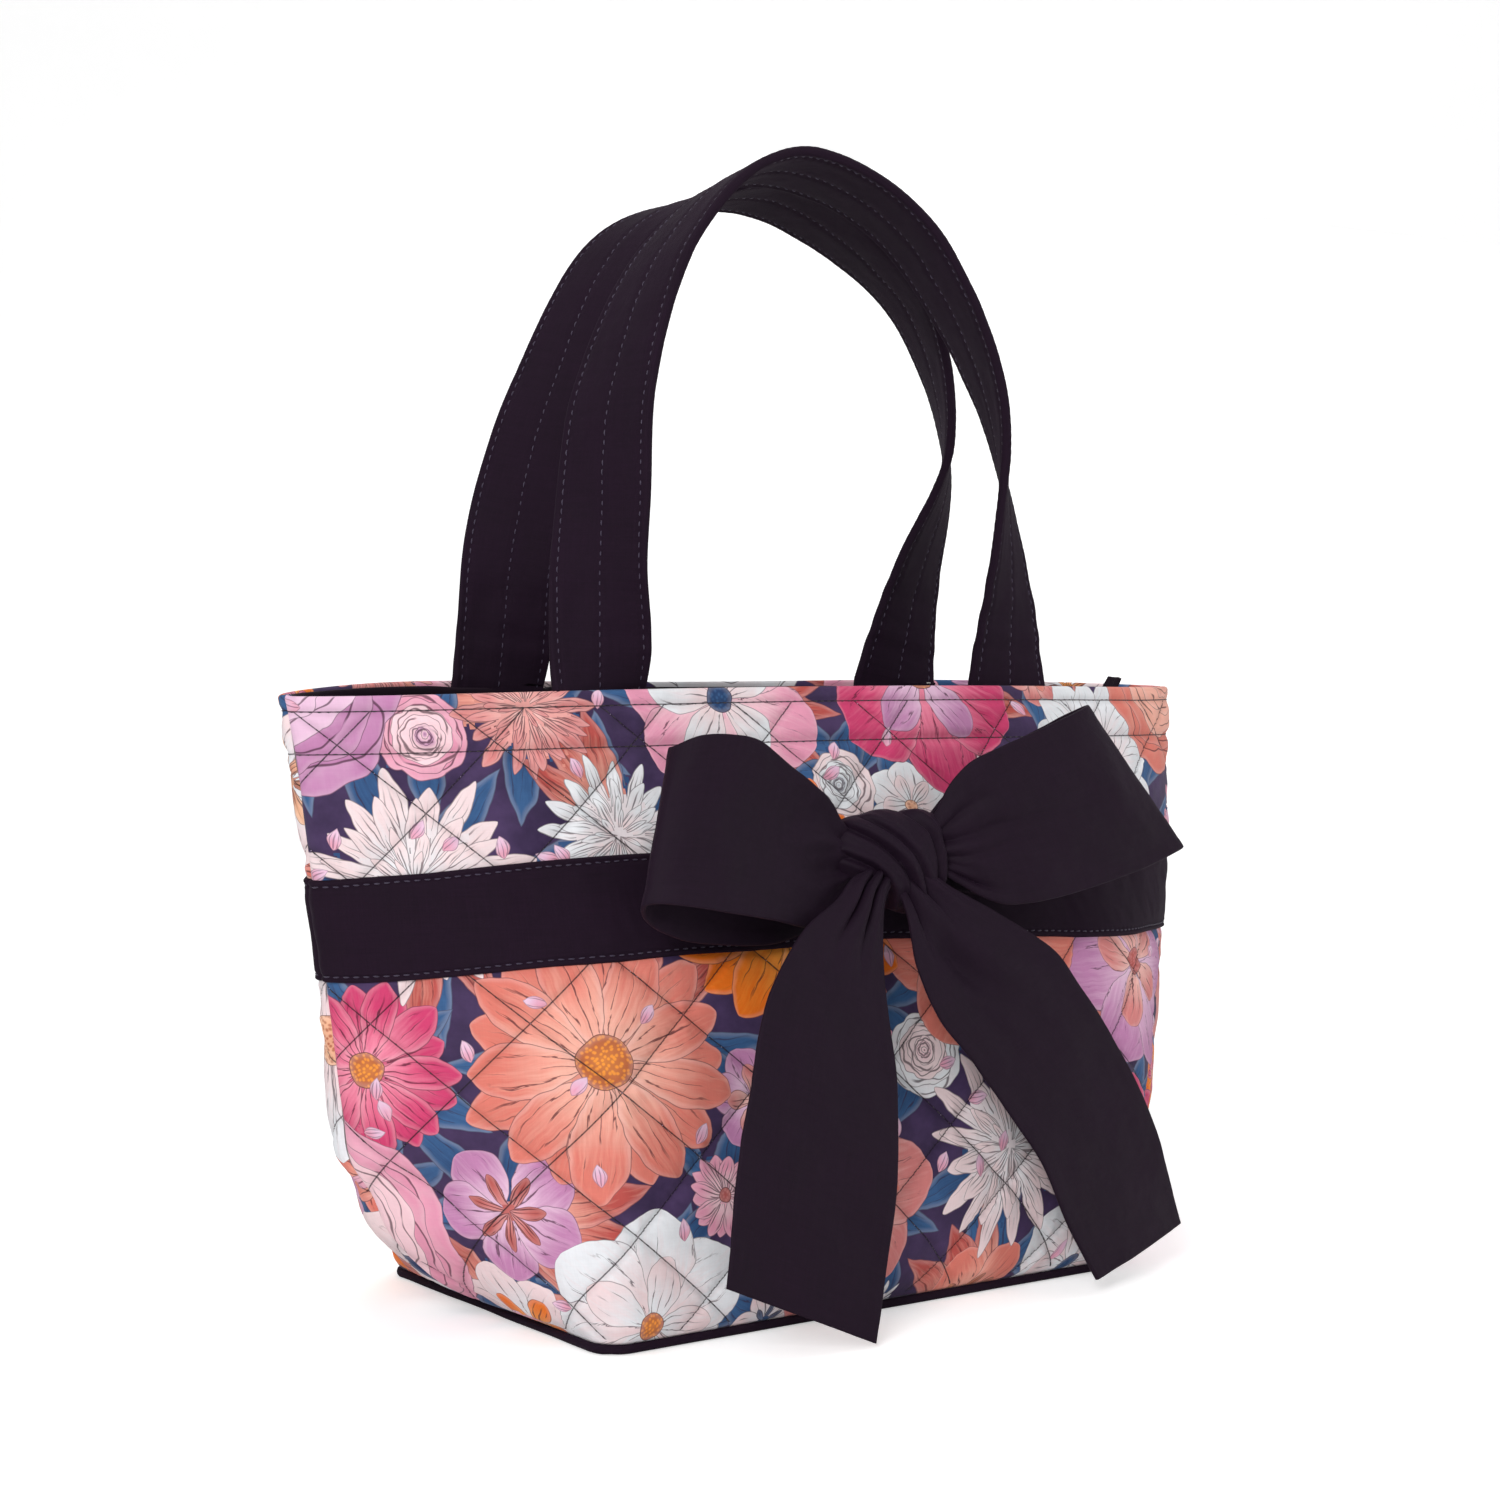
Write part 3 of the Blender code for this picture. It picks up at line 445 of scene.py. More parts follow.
def thread(name, a, b):
    """Twisted sewing thread."""
    mat, g, bsdf = material(name)
    x, y = g.uv()
    ply = g.m("SINE", g.m("ADD", g.m("MULTIPLY", x, 7000.0), g.m("MULTIPLY", y, 2000.0)))
    f = g.m("ADD", g.m("MULTIPLY", ply, 0.25), g.noise(g.comb(x, y, 0.0), 0.8, 2.0), clamp=True)
    g.put(bsdf.inputs["Base Color"], g.mix(f, a, b))
    bsdf.inputs["Roughness"].default_value = 0.55
    bsdf.inputs["Sheen Weight"].default_value = 0.2
    g.put(bsdf.inputs["Normal"], g.bump(ply, 0.3, 0.00005))
    return mat

# ---------------------------------------------------------------- colours
PLUM_D, PLUM_L = lin(20, 8, 21), lin(36, 18, 37)
STITCH_A, STITCH_B = lin(40, 29, 52), lin(66, 53, 80)
QUILT_A, QUILT_B = lin(18, 8, 18), lin(38, 22, 34)
GROUND_A, GROUND_B = lin(50, 34, 68), lin(74, 54, 94)
SALMON, SALMON_L = lin(214, 128, 126), lin(240, 186, 178)
CORAL, CORAL_L, CORAL_D = lin(218, 120, 106), lin(242, 178, 160), lin(182, 78, 72)
LILAC, LILAC_L, LILAC_D = lin(190, 128, 172), lin(230, 190, 216), lin(146, 88, 132)
PINK, PINK_L = lin(226, 150, 176), lin(246, 206, 214)
WHITE, WHITE_S, WHITE_P = lin(230, 232, 236), lin(200, 206, 216), lin(236, 212, 214)
ORANGE, ORANGE_L = lin(236, 112, 14), lin(250, 160, 60)
NAVY, NAVY_L = lin(28, 54, 98), lin(54, 92, 138)
MAG, MAG_L = lin(204, 60, 108), lin(236, 134, 160)
RUST = lin(176, 92, 62)
CREAM = lin(250, 196, 160)

m_plum = cloth("plum_cotton", PLUM_D, PLUM_L, 0.44, 0.35, sheen=0.03, sheen_tint=(0.55, 0.35, 0.6, 1))
m_plum_ribbon = cloth("plum_ribbon", lin(19, 7, 20), lin(34, 16, 35), 0.38, 0.30, rough=0.66, sheen=0.035, sheen_tint=(0.55, 0.35, 0.6, 1))
m_lining = cloth("plum_lining", lin(20, 9, 19), lin(34, 20, 33), 0.5, 0.3, rough=0.85, sheen=0.05)
m_tape = cloth("zip_tape_cloth", lin(26, 15, 28), lin(44, 29, 48), 0.8, 0.6)
m_stitch = thread("topstitch_thread", STITCH_A, STITCH_B)
m_quilt = thread("quilting_thread", QUILT_A, QUILT_B)
m_speck = thread("bobbin_thread", lin(150, 130, 160), lin(206, 190, 214))


def batting():
    mat, g, bsdf = material("wadding_fibre")
    x, y = g.uv()
    v = g.comb(x, y, 0.0)
    f = g.noise(g.comb(g.m("MULTIPLY", x, 0.7), g.m("MULTIPLY", y, 2.5), 0.0), 1.0, 5.0, 0.7)
    g.put(bsdf.inputs["Base Color"], g.mix(f, lin(214, 212, 206), lin(244, 243, 238)))
    bsdf.inputs["Roughness"].default_value = 0.95
    bsdf.inputs["Sheen Weight"].default_value = 0.3
    g.put(bsdf.inputs["Normal"], g.bump(g.noise(v, 2.0, 6.0, 0.75), 0.7, 0.0006))
    return mat


m_wadding = batting()


def hard(name, a, b, rough, metal, scratch=60.0):
    """Plated or moulded hardware: uneven tone, fine scratches, dulled edges."""
    mat, g, bsdf = material(name)
    co = g.new("ShaderNodeTexCoord").outputs["Object"]
    big = g.noise(co, 300.0, 4.0, 0.6)
    x, y, z = g.sep(co)
    scr = g.noise(g.comb(g.m("MULTIPLY", x, 300.0), g.m("MULTIPLY", y, scratch * 120), g.m("MULTIPLY", z, scratch * 60)), 1.0, 3.0, 0.7)
    g.put(bsdf.inputs["Base Color"], g.mix(g.m("ADD", g.m("MULTIPLY", big, 0.7), g.m("MULTIPLY", scr, 0.3)), a, b))
    g.put(bsdf.inputs["Roughness"], g.ss(g.m("ADD", big, g.m("MULTIPLY", scr, 0.4)), 0.3, 1.0, rough - 0.08, rough + 0.16))
    bsdf.inputs["Metallic"].default_value = metal
    g.put(bsdf.inputs["Normal"], g.bump(scr, 0.15, 0.00005))
    return mat


m_metal = hard("dark_nickel", lin(96, 90, 96), lin(150, 142, 148), 0.32, 1.0)
m_teeth = hard("moulded_teeth", lin(30, 18, 32), lin(52, 38, 56), 0.4, 0.0, 20.0)
m_board = hard("base_board_fibre", lin(66, 60, 62), lin(96, 88, 86), 0.75, 0.0, 8.0)

# ---------------------------------------------------------------- printed cloth
LAYERS = 4


def element_group():
    """One painted shape: petals and leaves (kinds 0 and 3), ruffled roses (1),
    stippled flower eyes (2)."""
    t = bpy.data.node_groups.new("painted_shape", "ShaderNodeTree")
    for nm, ty in (("Coord", "NodeSocketVector"), ("Param", "NodeSocketVector"), ("Inner", "NodeSocketColor"),
                   ("Outer", "NodeSocketColor"), ("Ink", "NodeSocketFloat")):
        t.interface.new_socket(name=nm, in_out="INPUT", socket_type=ty)
    t.interface.new_socket(name="Color", in_out="OUTPUT", socket_type="NodeSocketColor")
    t.interface.new_socket(name="Mask", in_out="OUTPUT", socket_type="NodeSocketFloat")
    g = Nodes(t)
    gi, go = g.new("NodeGroupInput"), g.new("NodeGroupOutput")
    x0, y0, seed = g.sep(gi.outputs["Coord"])
    L, W, kind = g.sep(gi.outputs["Param"])
    z = g.m("MULTIPLY", seed, 7.3)
    wob = g.new("ShaderNodeTexNoise", noise_dimensions="3D")
    g.put(wob.inputs["Vector"], g.comb(x0, y0, z))
    wob.inputs["Scale"].default_value = 0.11
    wob.inputs["Detail"].default_value = 1.0
    wr, wg, wb = g.sep(wob.outputs["Color"])
    x = g.m("ADD", x0, g.m("MULTIPLY", g.m("SUBTRACT", wr, 0.5), 2.6))
    y = g.m("ADD", y0, g.m("MULTIPLY", g.m("SUBTRACT", wg, 0.5), 2.6))
    round_ = g.m("MULTIPLY", g.m("GREATER_THAN", kind, 0.5), g.m("LESS_THAN", kind, 2.5))
    eye = g.m("MULTIPLY", g.m("GREATER_THAN", kind, 1.5), g.m("LESS_THAN", kind, 2.5))
    leafy = g.m("GREATER_THAN", kind, 2.5)
    # petals
    tt = g.m("DIVIDE", x, L, clamp=True)
    p = g.m("SUBTRACT", 1.35, g.m("MULTIPLY", leafy, 0.45))
    q = g.m("ADD", 0.60, g.m("MULTIPLY", leafy, 0.35))
    hw = g.m("MULTIPLY", W, g.m("POWER", g.m("ABSOLUTE", g.m("SINE", g.m("MULTIPLY", g.m("POWER", tt, p), PI))), q))
    inside = g.m("MULTIPLY", g.m("GREATER_THAN", x, 0.0), g.m("LESS_THAN", x, L))
    ay = g.m("ABSOLUTE", y)
    dp = g.m("SUBTRACT", g.m("MULTIPLY", g.m("ADD", g.m("SUBTRACT", hw, ay), 4.0), inside), 4.0)
    # discs and roses
    r = g.m("SQRT", g.m("ADD", g.m("MULTIPLY", x, x), g.m("MULTIPLY", y, y)))
    th = g.m("ARCTAN2", y, x)
    lobes = g.m("ABSOLUTE", g.m("SINE", g.m("ADD", g.m("MULTIPLY", th, 3.0), z)))
    fine = g.m("SINE", g.m("ADD", g.m("MULTIPLY", th, 11.0), g.m("MULTIPLY", z, 2.0)))
    R = g.m("MULTIPLY", L, g.m("ADD", g.m("ADD", 0.90, g.m("MULTIPLY", lobes, 0.075)), g.m("MULTIPLY", fine, 0.018)))
    R = g.m("ADD", g.m("MULTIPLY", R, g.m("SUBTRACT", 1.0, eye)), g.m("MULTIPLY", L, eye))
    dr = g.m("SUBTRACT", R, r)
    d = g.m("ADD", g.m("MULTIPLY", dp, g.m("SUBTRACT", 1.0, round_)), g.m("MULTIPLY", dr, round_))
    mask = g.ss(d, -0.12, 0.12)
    # petal paint: base to tip, brush streaks, ink veins
    streak = g.noise(g.comb(g.m("MULTIPLY", x, 0.06), g.m("MULTIPLY", y, 0.75), z), 1.0, 3.0, 0.6)
    blot = g.noise(g.comb(x, y, g.m("ADD", z, 3.0)), 0.11, 3.0, 0.6)
    f1 = g.m("ADD", g.ss(tt, 0.05, 0.85), g.m("ADD", g.m("MULTIPLY", g.m("SUBTRACT", streak, 0.5), 1.1), g.m("MULTIPLY", g.m("SUBTRACT", blot, 0.5), 0.5)), clamp=True)
    vx = g.m("MULTIPLY", g.m("DIVIDE", y, g.m("ADD", hw, 0.8)), 2.1)
    vn = g.m("ADD", vx, g.m("MULTIPLY", g.m("SUBTRACT", streak, 0.5), 0.8))
    vline = g.m("ABSOLUTE", g.m("SUBTRACT", g.m("FRACT", g.m("ADD", vn, 0.5)), 0.5))
    vmm = g.m("MULTIPLY", vline, g.m("MULTIPLY", g.m("ADD", hw, 0.8), 0.476))
    brk = g.ss(g.noise(g.comb(g.m("MULTIPLY", x, 0.07), g.m("MULTIPLY", y, 0.45), g.m("ADD", z, 9.0)), 1.0, 0.0), 0.36, 0.44)
    vend = g.m("MULTIPLY", g.ss(tt, 0.02, 0.12), g.m("SUBTRACT", 1.0, g.ss(tt, 0.62, 0.9)))
    vein = g.m("MULTIPLY", g.m("SUBTRACT", 1.0, g.ss(vmm, 0.08, 0.28)), g.m("MULTIPLY", vend, brk))
    # rose paint: wandering ruffle lines round the heart
    wave = g.new("ShaderNodeTexNoise", noise_dimensions="3D")
    g.put(wave.inputs["Vector"], g.comb(g.m("MULTIPLY", g.m("COSINE", th), 1.25), g.m("MULTIPLY", g.m("SINE", th), 1.25), g.m("ADD", z, g.m("DIVIDE", r, g.m("MULTIPLY", L, 0.75)))))
    wave.inputs["Scale"].default_value = 1.0
    wave.inputs["Detail"].default_value = 1.2
    wave.inputs["Roughness"].default_value = 0.4
    rr = g.m("ADD", r, g.m("MULTIPLY", g.m("SUBTRACT", wave.outputs["Fac"], 0.5), g.m("MULTIPLY", L, 0.55)))
    ring = g.m("DIVIDE", rr, W)
    fr = g.m("FRACT", g.m("ADD", ring, 20.0))
    rl = g.m("MULTIPLY", g.m("SUBTRACT", 0.5, g.m("ABSOLUTE", g.m("SUBTRACT", fr, 0.5))), W)
    rbrk = g.ss(g.noise(g.comb(g.m("MULTIPLY", x, 0.075), g.m("MULTIPLY", y, 0.075), g.m("ADD", z, 5.0)), 1.0, 0.0), 0.33, 0.42)
    rline = g.m("MULTIPLY", g.m("SUBTRACT", 1.0, g.ss(rl, 0.16, 0.50)), rbrk)
    rings = g.m("MULTIPLY", g.m("SUBTRACT", fr, 0.5), 0.34)
    f2 = g.m("ADD", g.ss(g.m("DIVIDE", r, L), 0.08, 0.95), g.m("ADD", rings, g.m("MULTIPLY", g.m("SUBTRACT", blot, 0.5), 0.9)), clamp=True)
    # eyes
    dots = g.new("ShaderNodeTexVoronoi", voronoi_dimensions="2D", feature="F1")
    g.put(dots.inputs["Vector"], g.comb(x, y, 0.0))
    dots.inputs["Scale"].default_value = 0.62
    f3 = g.m("ADD", g.m("MULTIPLY", g.ss(dots.outputs["Distance"], 0.15, 0.5), 0.6), g.m("MULTIPLY", g.m("DIVIDE", r, L), 0.4), clamp=True)
    plain = g.m("SUBTRACT", 1.0, round_)
    rosy = g.m("MULTIPLY", round_, g.m("SUBTRACT", 1.0, eye))
    f = g.m("ADD", g.m("ADD", g.m("MULTIPLY", f1, plain), g.m("MULTIPLY", f2, rosy)), g.m("MULTIPLY", f3, eye))
    line = g.m("ADD", g.m("MULTIPLY", vein, plain), g.m("MULTIPLY", rline, rosy))
    edge = g.m("SUBTRACT", 1.0, g.ss(d, 0.12, 0.40))
    col = g.mix(f, gi.outputs["Inner"], gi.outputs["Outer"])
    rim = g.m("MULTIPLY", g.m("SUBTRACT", 1.0, g.ss(d, 0.4, 2.6)), 0.12)
    col = g.mix(rim, col, (0.9, 0.82, 0.82, 1))
    tone = g.m("ADD", 0.88, g.m("MULTIPLY", blot, 0.24))
    col = g.mix(1.0, col, g.comb(tone, tone, tone), "MULTIPLY")
    inkc = g.mix(0.90, gi.outputs["Outer"], lin(52, 16, 34))
    inkf = g.m("MULTIPLY", g.m("MAXIMUM", line, g.m("MULTIPLY", edge, 0.9)), gi.outputs["Ink"], clamp=True)
    col = g.mix(inkf, col, inkc)
    g.put(go.inputs["Color"], col)
    g.put(go.inputs["Mask"], mask)
    return t


PAINT = element_group()


def print_material(name, layers=LAYERS, sewn=True):
    mat, g, bsdf = material(name)
    x, y = g.uv()
    v = g.comb(x, y, 0.0)
    mott = g.noise(v, 0.045, 4.0, 0.6)
    col = g.mix(g.ss(mott, 0.3, 0.72), GROUND_A, GROUND_B)
    low = g.new("ShaderNodeAttribute", attribute_name="under")
    col = g.mix(low.outputs["Alpha"], col, low.outputs["Color"])
    for k in range(layers - 1, -1, -1):
        node = g.new("ShaderNodeGroup")
        node.node_tree = PAINT
        g.put(node.inputs["Coord"], g.attr(f"shape{k}"))
        g.put(node.inputs["Param"], g.attr(f"form{k}"))
        a = g.new("ShaderNodeAttribute", attribute_name=f"inner{k}")
        b = g.new("ShaderNodeAttribute", attribute_name=f"outer{k}")
        g.put(node.inputs["Inner"], a.outputs["Color"])
        g.put(node.inputs["Outer"], b.outputs["Color"])
        g.put(node.inputs["Ink"], a.outputs["Alpha"])
        mask = g.m("MULTIPLY", node.outputs["Mask"], b.outputs["Alpha"])
        col = g.mix(mask, col, node.outputs["Color"])
    if sewn:
        # the sewn lines pinch the cloth: painted shade along the groove under the thread, a thin dark core that is
        # partly the dark thread line and partly painted groove shadow, and a wider soft painted shade where the cloth
        # dips
        ax = g.m("DIVIDE", g.m("SUBTRACT", x, QX0), QX)
        ay = g.m("DIVIDE", g.m("SUBTRACT", y, QS0), QS)
        k = math.hypot(1 / QX, 1 / QS)
        near = None
        for op in ("ADD", "SUBTRACT"):
            v1 = g.m(op, ax, ay)
            gap = g.m("DIVIDE", g.m("SUBTRACT", 0.5, g.m("ABSOLUTE", g.m("SUBTRACT", g.m("FRACT", g.m("ADD", v1, 60.0)), 0.5))), k)
            near = gap if near is None else g.m("MINIMUM", near, gap)
        inb = g.m("MULTIPLY", g.m("GREATER_THAN", y, BAND_LOW * TALL_MM + 9), g.m("LESS_THAN", y, BAND_HIGH * TALL_MM - 4))
        off = g.m("ADD", g.m("ADD", inb, g.m("GREATER_THAN", y, ROW1)), g.m("LESS_THAN", y, 2.0), clamp=True)
        near = g.m("ADD", near, g.m("MULTIPLY", off, 9.0))
        for row in (ROW1, ROW2):
            near = g.m("MINIMUM", near, g.m("ABSOLUTE", g.m("SUBTRACT", y, row)))
        # painted shade: a thin dark groove line plus a wider soft shade beside the quilting lines and the two rows
        # under the rim
        groove_shade = g.m("MULTIPLY", g.m("SUBTRACT", 1.0, g.ss(near, 0.12, 0.34)), 0.9)
        groove_shade_wide = g.m("MULTIPLY", g.m("SUBTRACT", 1.0, g.ss(near, 0.2, 2.4)), 0.14)
        dark = g.m("ADD", groove_shade, groove_shade_wide, clamp=True)
        col = g.mix(dark, col, g.mix(0.82, col, lin(22, 8, 22)))
    hgt, over = weave(g, x, y, 0.36)
    grain = g.noise(g.comb(g.m("MULTIPLY", x, 1.6), g.m("MULTIPLY", y, 0.1), 0.0), 1.0, 2.0)
    grain2 = g.noise(g.comb(g.m("MULTIPLY", x, 0.1), g.m("MULTIPLY", y, 1.6), 4.0), 1.0, 2.0)
    tone = g.m("ADD", 0.92, g.m("MULTIPLY", g.m("ADD", grain, grain2), 0.08))
    col = g.mix(1.0, col, g.comb(tone, tone, tone), "MULTIPLY")
    g.put(bsdf.inputs["Base Color"], col)
    g.put(bsdf.inputs["Roughness"], g.m("ADD", 0.68, g.m("MULTIPLY", mott, 0.18)))
    bsdf.inputs["Specular IOR Level"].default_value = 0.3
    bsdf.inputs["Sheen Weight"].default_value = 0.10
    bsdf.inputs["Sheen Roughness"].default_value = 0.4
    n1 = g.bump(g.m("ADD", hgt, g.m("MULTIPLY", g.noise(v, 3.0, 3.0, 0.6), 0.4)), 0.25, 0.0001)
    g.put(bsdf.inputs["Normal"], g.bump(g.noise(v, 0.16, 3.0, 0.6), 0.22, 0.001, n1))
    return mat


class Paper:
    """A list of painted shapes, lowest first, in mm of cloth."""

    def __init__(self, seed):
        self.e = []
        self.r = np.random.default_rng(seed)

    def add(self, x, y, ang, L, W, kind, inner, outer, ink=0.85):
        self.e.append((x, y, math.radians(ang), L, W, kind, float(self.r.random() * 20), inner[:3], outer[:3], ink))

    def petals(self, x, y, R, n, inner, outer, wide=0.34, r0=0.08, start=0.0, sweep=360.0, ink=0.85, jit=0.08, kind=0):
        for i in range(n):
            a = start + sweep * i / n + self.r.uniform(-1, 1) * sweep / n * 0.12
            ll = R * (1 - r0) * (1 + self.r.uniform(-jit, jit))
            self.add(x + R * r0 * math.cos(math.radians(a)), y + R * r0 * math.sin(math.radians(a)), a,
                     ll, R * wide * (1 + self.r.uniform(-jit, jit)), kind, inner, outer, ink)

    def daisy(self, x, y, R, n, inner, outer, eye_a, eye_b, eye=0.2, wide=0.2, back=True, start=0.0):
        if back:
            self.petals(x, y, R * 0.98, n, [c * 0.8 for c in inner[:3]], outer, wide, 0.1, start + 180.0 / n)
        self.petals(x, y, R, n, inner, outer, wide, 0.1, start)
        self.add(x, y, 0, R * eye, 1, 2, eye_a, eye_b, 1.0)

    def rose(self, x, y, R, inner, outer, deep=None, ink=0.85, frill=0, heart=None, off=(0.05, 0.04)):
        deep, heart = deep or outer, heart or inner
        a0 = self.r.uniform(0, 360)
        hx, hy = x + R * off[0], y + R * off[1]
        rings = [(1.0, 0.0, inner, outer), (0.83, 0.30, inner, outer), (0.66, 0.55, heart, inner), (0.49, 0.78, heart, inner),
                 (0.33, 0.93, deep, heart), (0.19, 1.0, heart, deep), (0.09, 1.0, deep, heart)]
        if R < 12:
            rings = rings[::2]
        for i, (f, t, a, b_) in enumerate(rings):
            jx, jy = self.r.uniform(-1, 1, 2) * R * 0.035 * (i > 0)
            self.add(x + (hx - x) * t + jx, y + (hy - y) * t + jy, a0 + 47 * i, R * f, max(R * f * 0.40, R * 0.13), 1, a, b_, ink)

    def leaf(self, x, y, ang, L, W, a=NAVY, b=NAVY_L, ink=0.7):
        self.add(x, y, ang, L, W, 3, a, b, ink)

    def spray(self, x, y, ang, n, L, W, a=NAVY, b=NAVY_L, fan=80.0):
        for i in range(n):
            aa = ang + fan * ((i + 0.5) / n - 0.5) + self.r.uniform(-6, 6)
            self.leaf(x, y, aa, L * self.r.uniform(0.8, 1.1), W * self.r.uniform(0.85, 1.15), a, b)

    def thistle(self, x, y, R, inner, outer):
        for ring, rr in ((16, 1.0), (13, 0.78), (10, 0.56), (7, 0.36)):
            self.petals(x, y, R * rr, ring, inner, outer, 0.11, 0.05, self.r.uniform(0, 30), jit=0.2)

    def bell(self, x, y, ang, R, inner, outer, n=5, fan=110.0):
        """A flower seen from the side: petals fanned to one direction."""
        order = sorted(range(n), key=lambda i: -abs(i - (n - 1) / 2))
        for i in order:
            self.add(x, y, ang + fan * (i / (n - 1) - 0.5), R * self.r.uniform(0.9, 1.06), R * 0.27, 0, inner, outer, 0.85)

    def fleck(self, x, y, ang, L, a=PINK, b=LILAC_L):
        self.leaf(x, y, ang, L, L * 0.3, a, b, 0.6)


HUES = [(CORAL_L, CORAL, CORAL_D), (WHITE, WHITE_P, WHITE_S), (LILAC_L, LILAC, LILAC_D), (PINK_L, PINK, LILAC),
        (ORANGE_L, ORANGE, CORAL), (SALMON_L, SALMON, CORAL_D), (WHITE_P, WHITE, PINK_L), (MAG_L, MAG, LILAC_D)]
SHARE = (1.15, 1.15, 1.0, 1.05, 0.62, 1.0, 1.0, 0.62)
EYES = [(RUST, CREAM), (NAVY_L, NAVY), (ORANGE_L, RUST), (SALMON, CORAL_D)]


def floral_paper(seed, w, h):
    """A generic all-over floral. Places, sizes, kinds and colours all come from the seed."""
    p = Paper(seed)
    r = np.random.default_rng(seed)
    spots = []
    for lo, hi, most in ((38, 47, 16), (25, 33, 34), (14, 20, 60)):
        n = 0
        for _ in range(2500):
            x, y, R = r.uniform(-w / 2, w / 2), r.uniform(-10, h + 10), r.uniform(lo, hi)
            if n < most and all(math.hypot(x - a, y - b) > 0.83 * (R + q) for a, b, q, _ in spots):
                far = [min([math.hypot(x - a, y - b) for a, b, _, k in spots if k == j] + [400.0]) * r.uniform(0.6, 1) * SHARE[j] for j in range(8)]
                spots.append((x, y, R, int(np.argmax(far))))
                n += 1
    for x, y, R, _ in spots:
        p.spray(x, y, r.uniform(0, 360), 3 if R < 24 else 5, R + 15, 7, fan=320)
        if R > 24:
            p.spray(x, y, r.uniform(0, 360), 3, R + 20, 7, CORAL_L, CORAL_D, fan=70)
    for x, y, R, hue in sorted(spots, key=lambda q: q[2] + 14 * r.random()):
        a, b, c = HUES[hue]
        eye = EYES[int(r.integers(0, 4))]
        other = HUES[(hue + 3) % 8]
        kind = r.choice(5, p=(0.42, 0.20, 0.16, 0.14, 0.08) if R > 36 else (0.26, 0.26, 0.2, 0.14, 0.14))
        turn = r.uniform(0, 360)
        if kind == 0:
            p.rose(x, y, R, a, b, c, 0.85, off=tuple(r.uniform(-0.14, 0.14, 2)))
        elif kind == 1:
            p.petals(x, y, R, 6, a, b, 0.40, 0.06, turn)
            p.petals(x, y, R * 0.66, 5, other[0], other[1], 0.27, 0.05, turn + 30)
            p.add(x, y, 0, R * 0.13, 1, 2, eye[0], eye[1], 1.0)
        elif kind == 2:
            p.daisy(x, y, R, 9, a, b, eye[0], eye[1], 0.2, 0.2, start=turn)
        elif kind == 3:
            p.petals(x, y, R, 5, a, b, 0.42, 0.06, turn)
            p.petals(x, y, R * 0.56, 7, eye[0], eye[1], 0.16, 0.02, turn + 15)
        else:
            p.thistle(x, y, R * 0.85, a, b)
    for k in range(2 * len(spots)):
        p.fleck(r.uniform(-w / 2, w / 2), r.uniform(0, h), r.uniform(0, 180), 8)
    return p


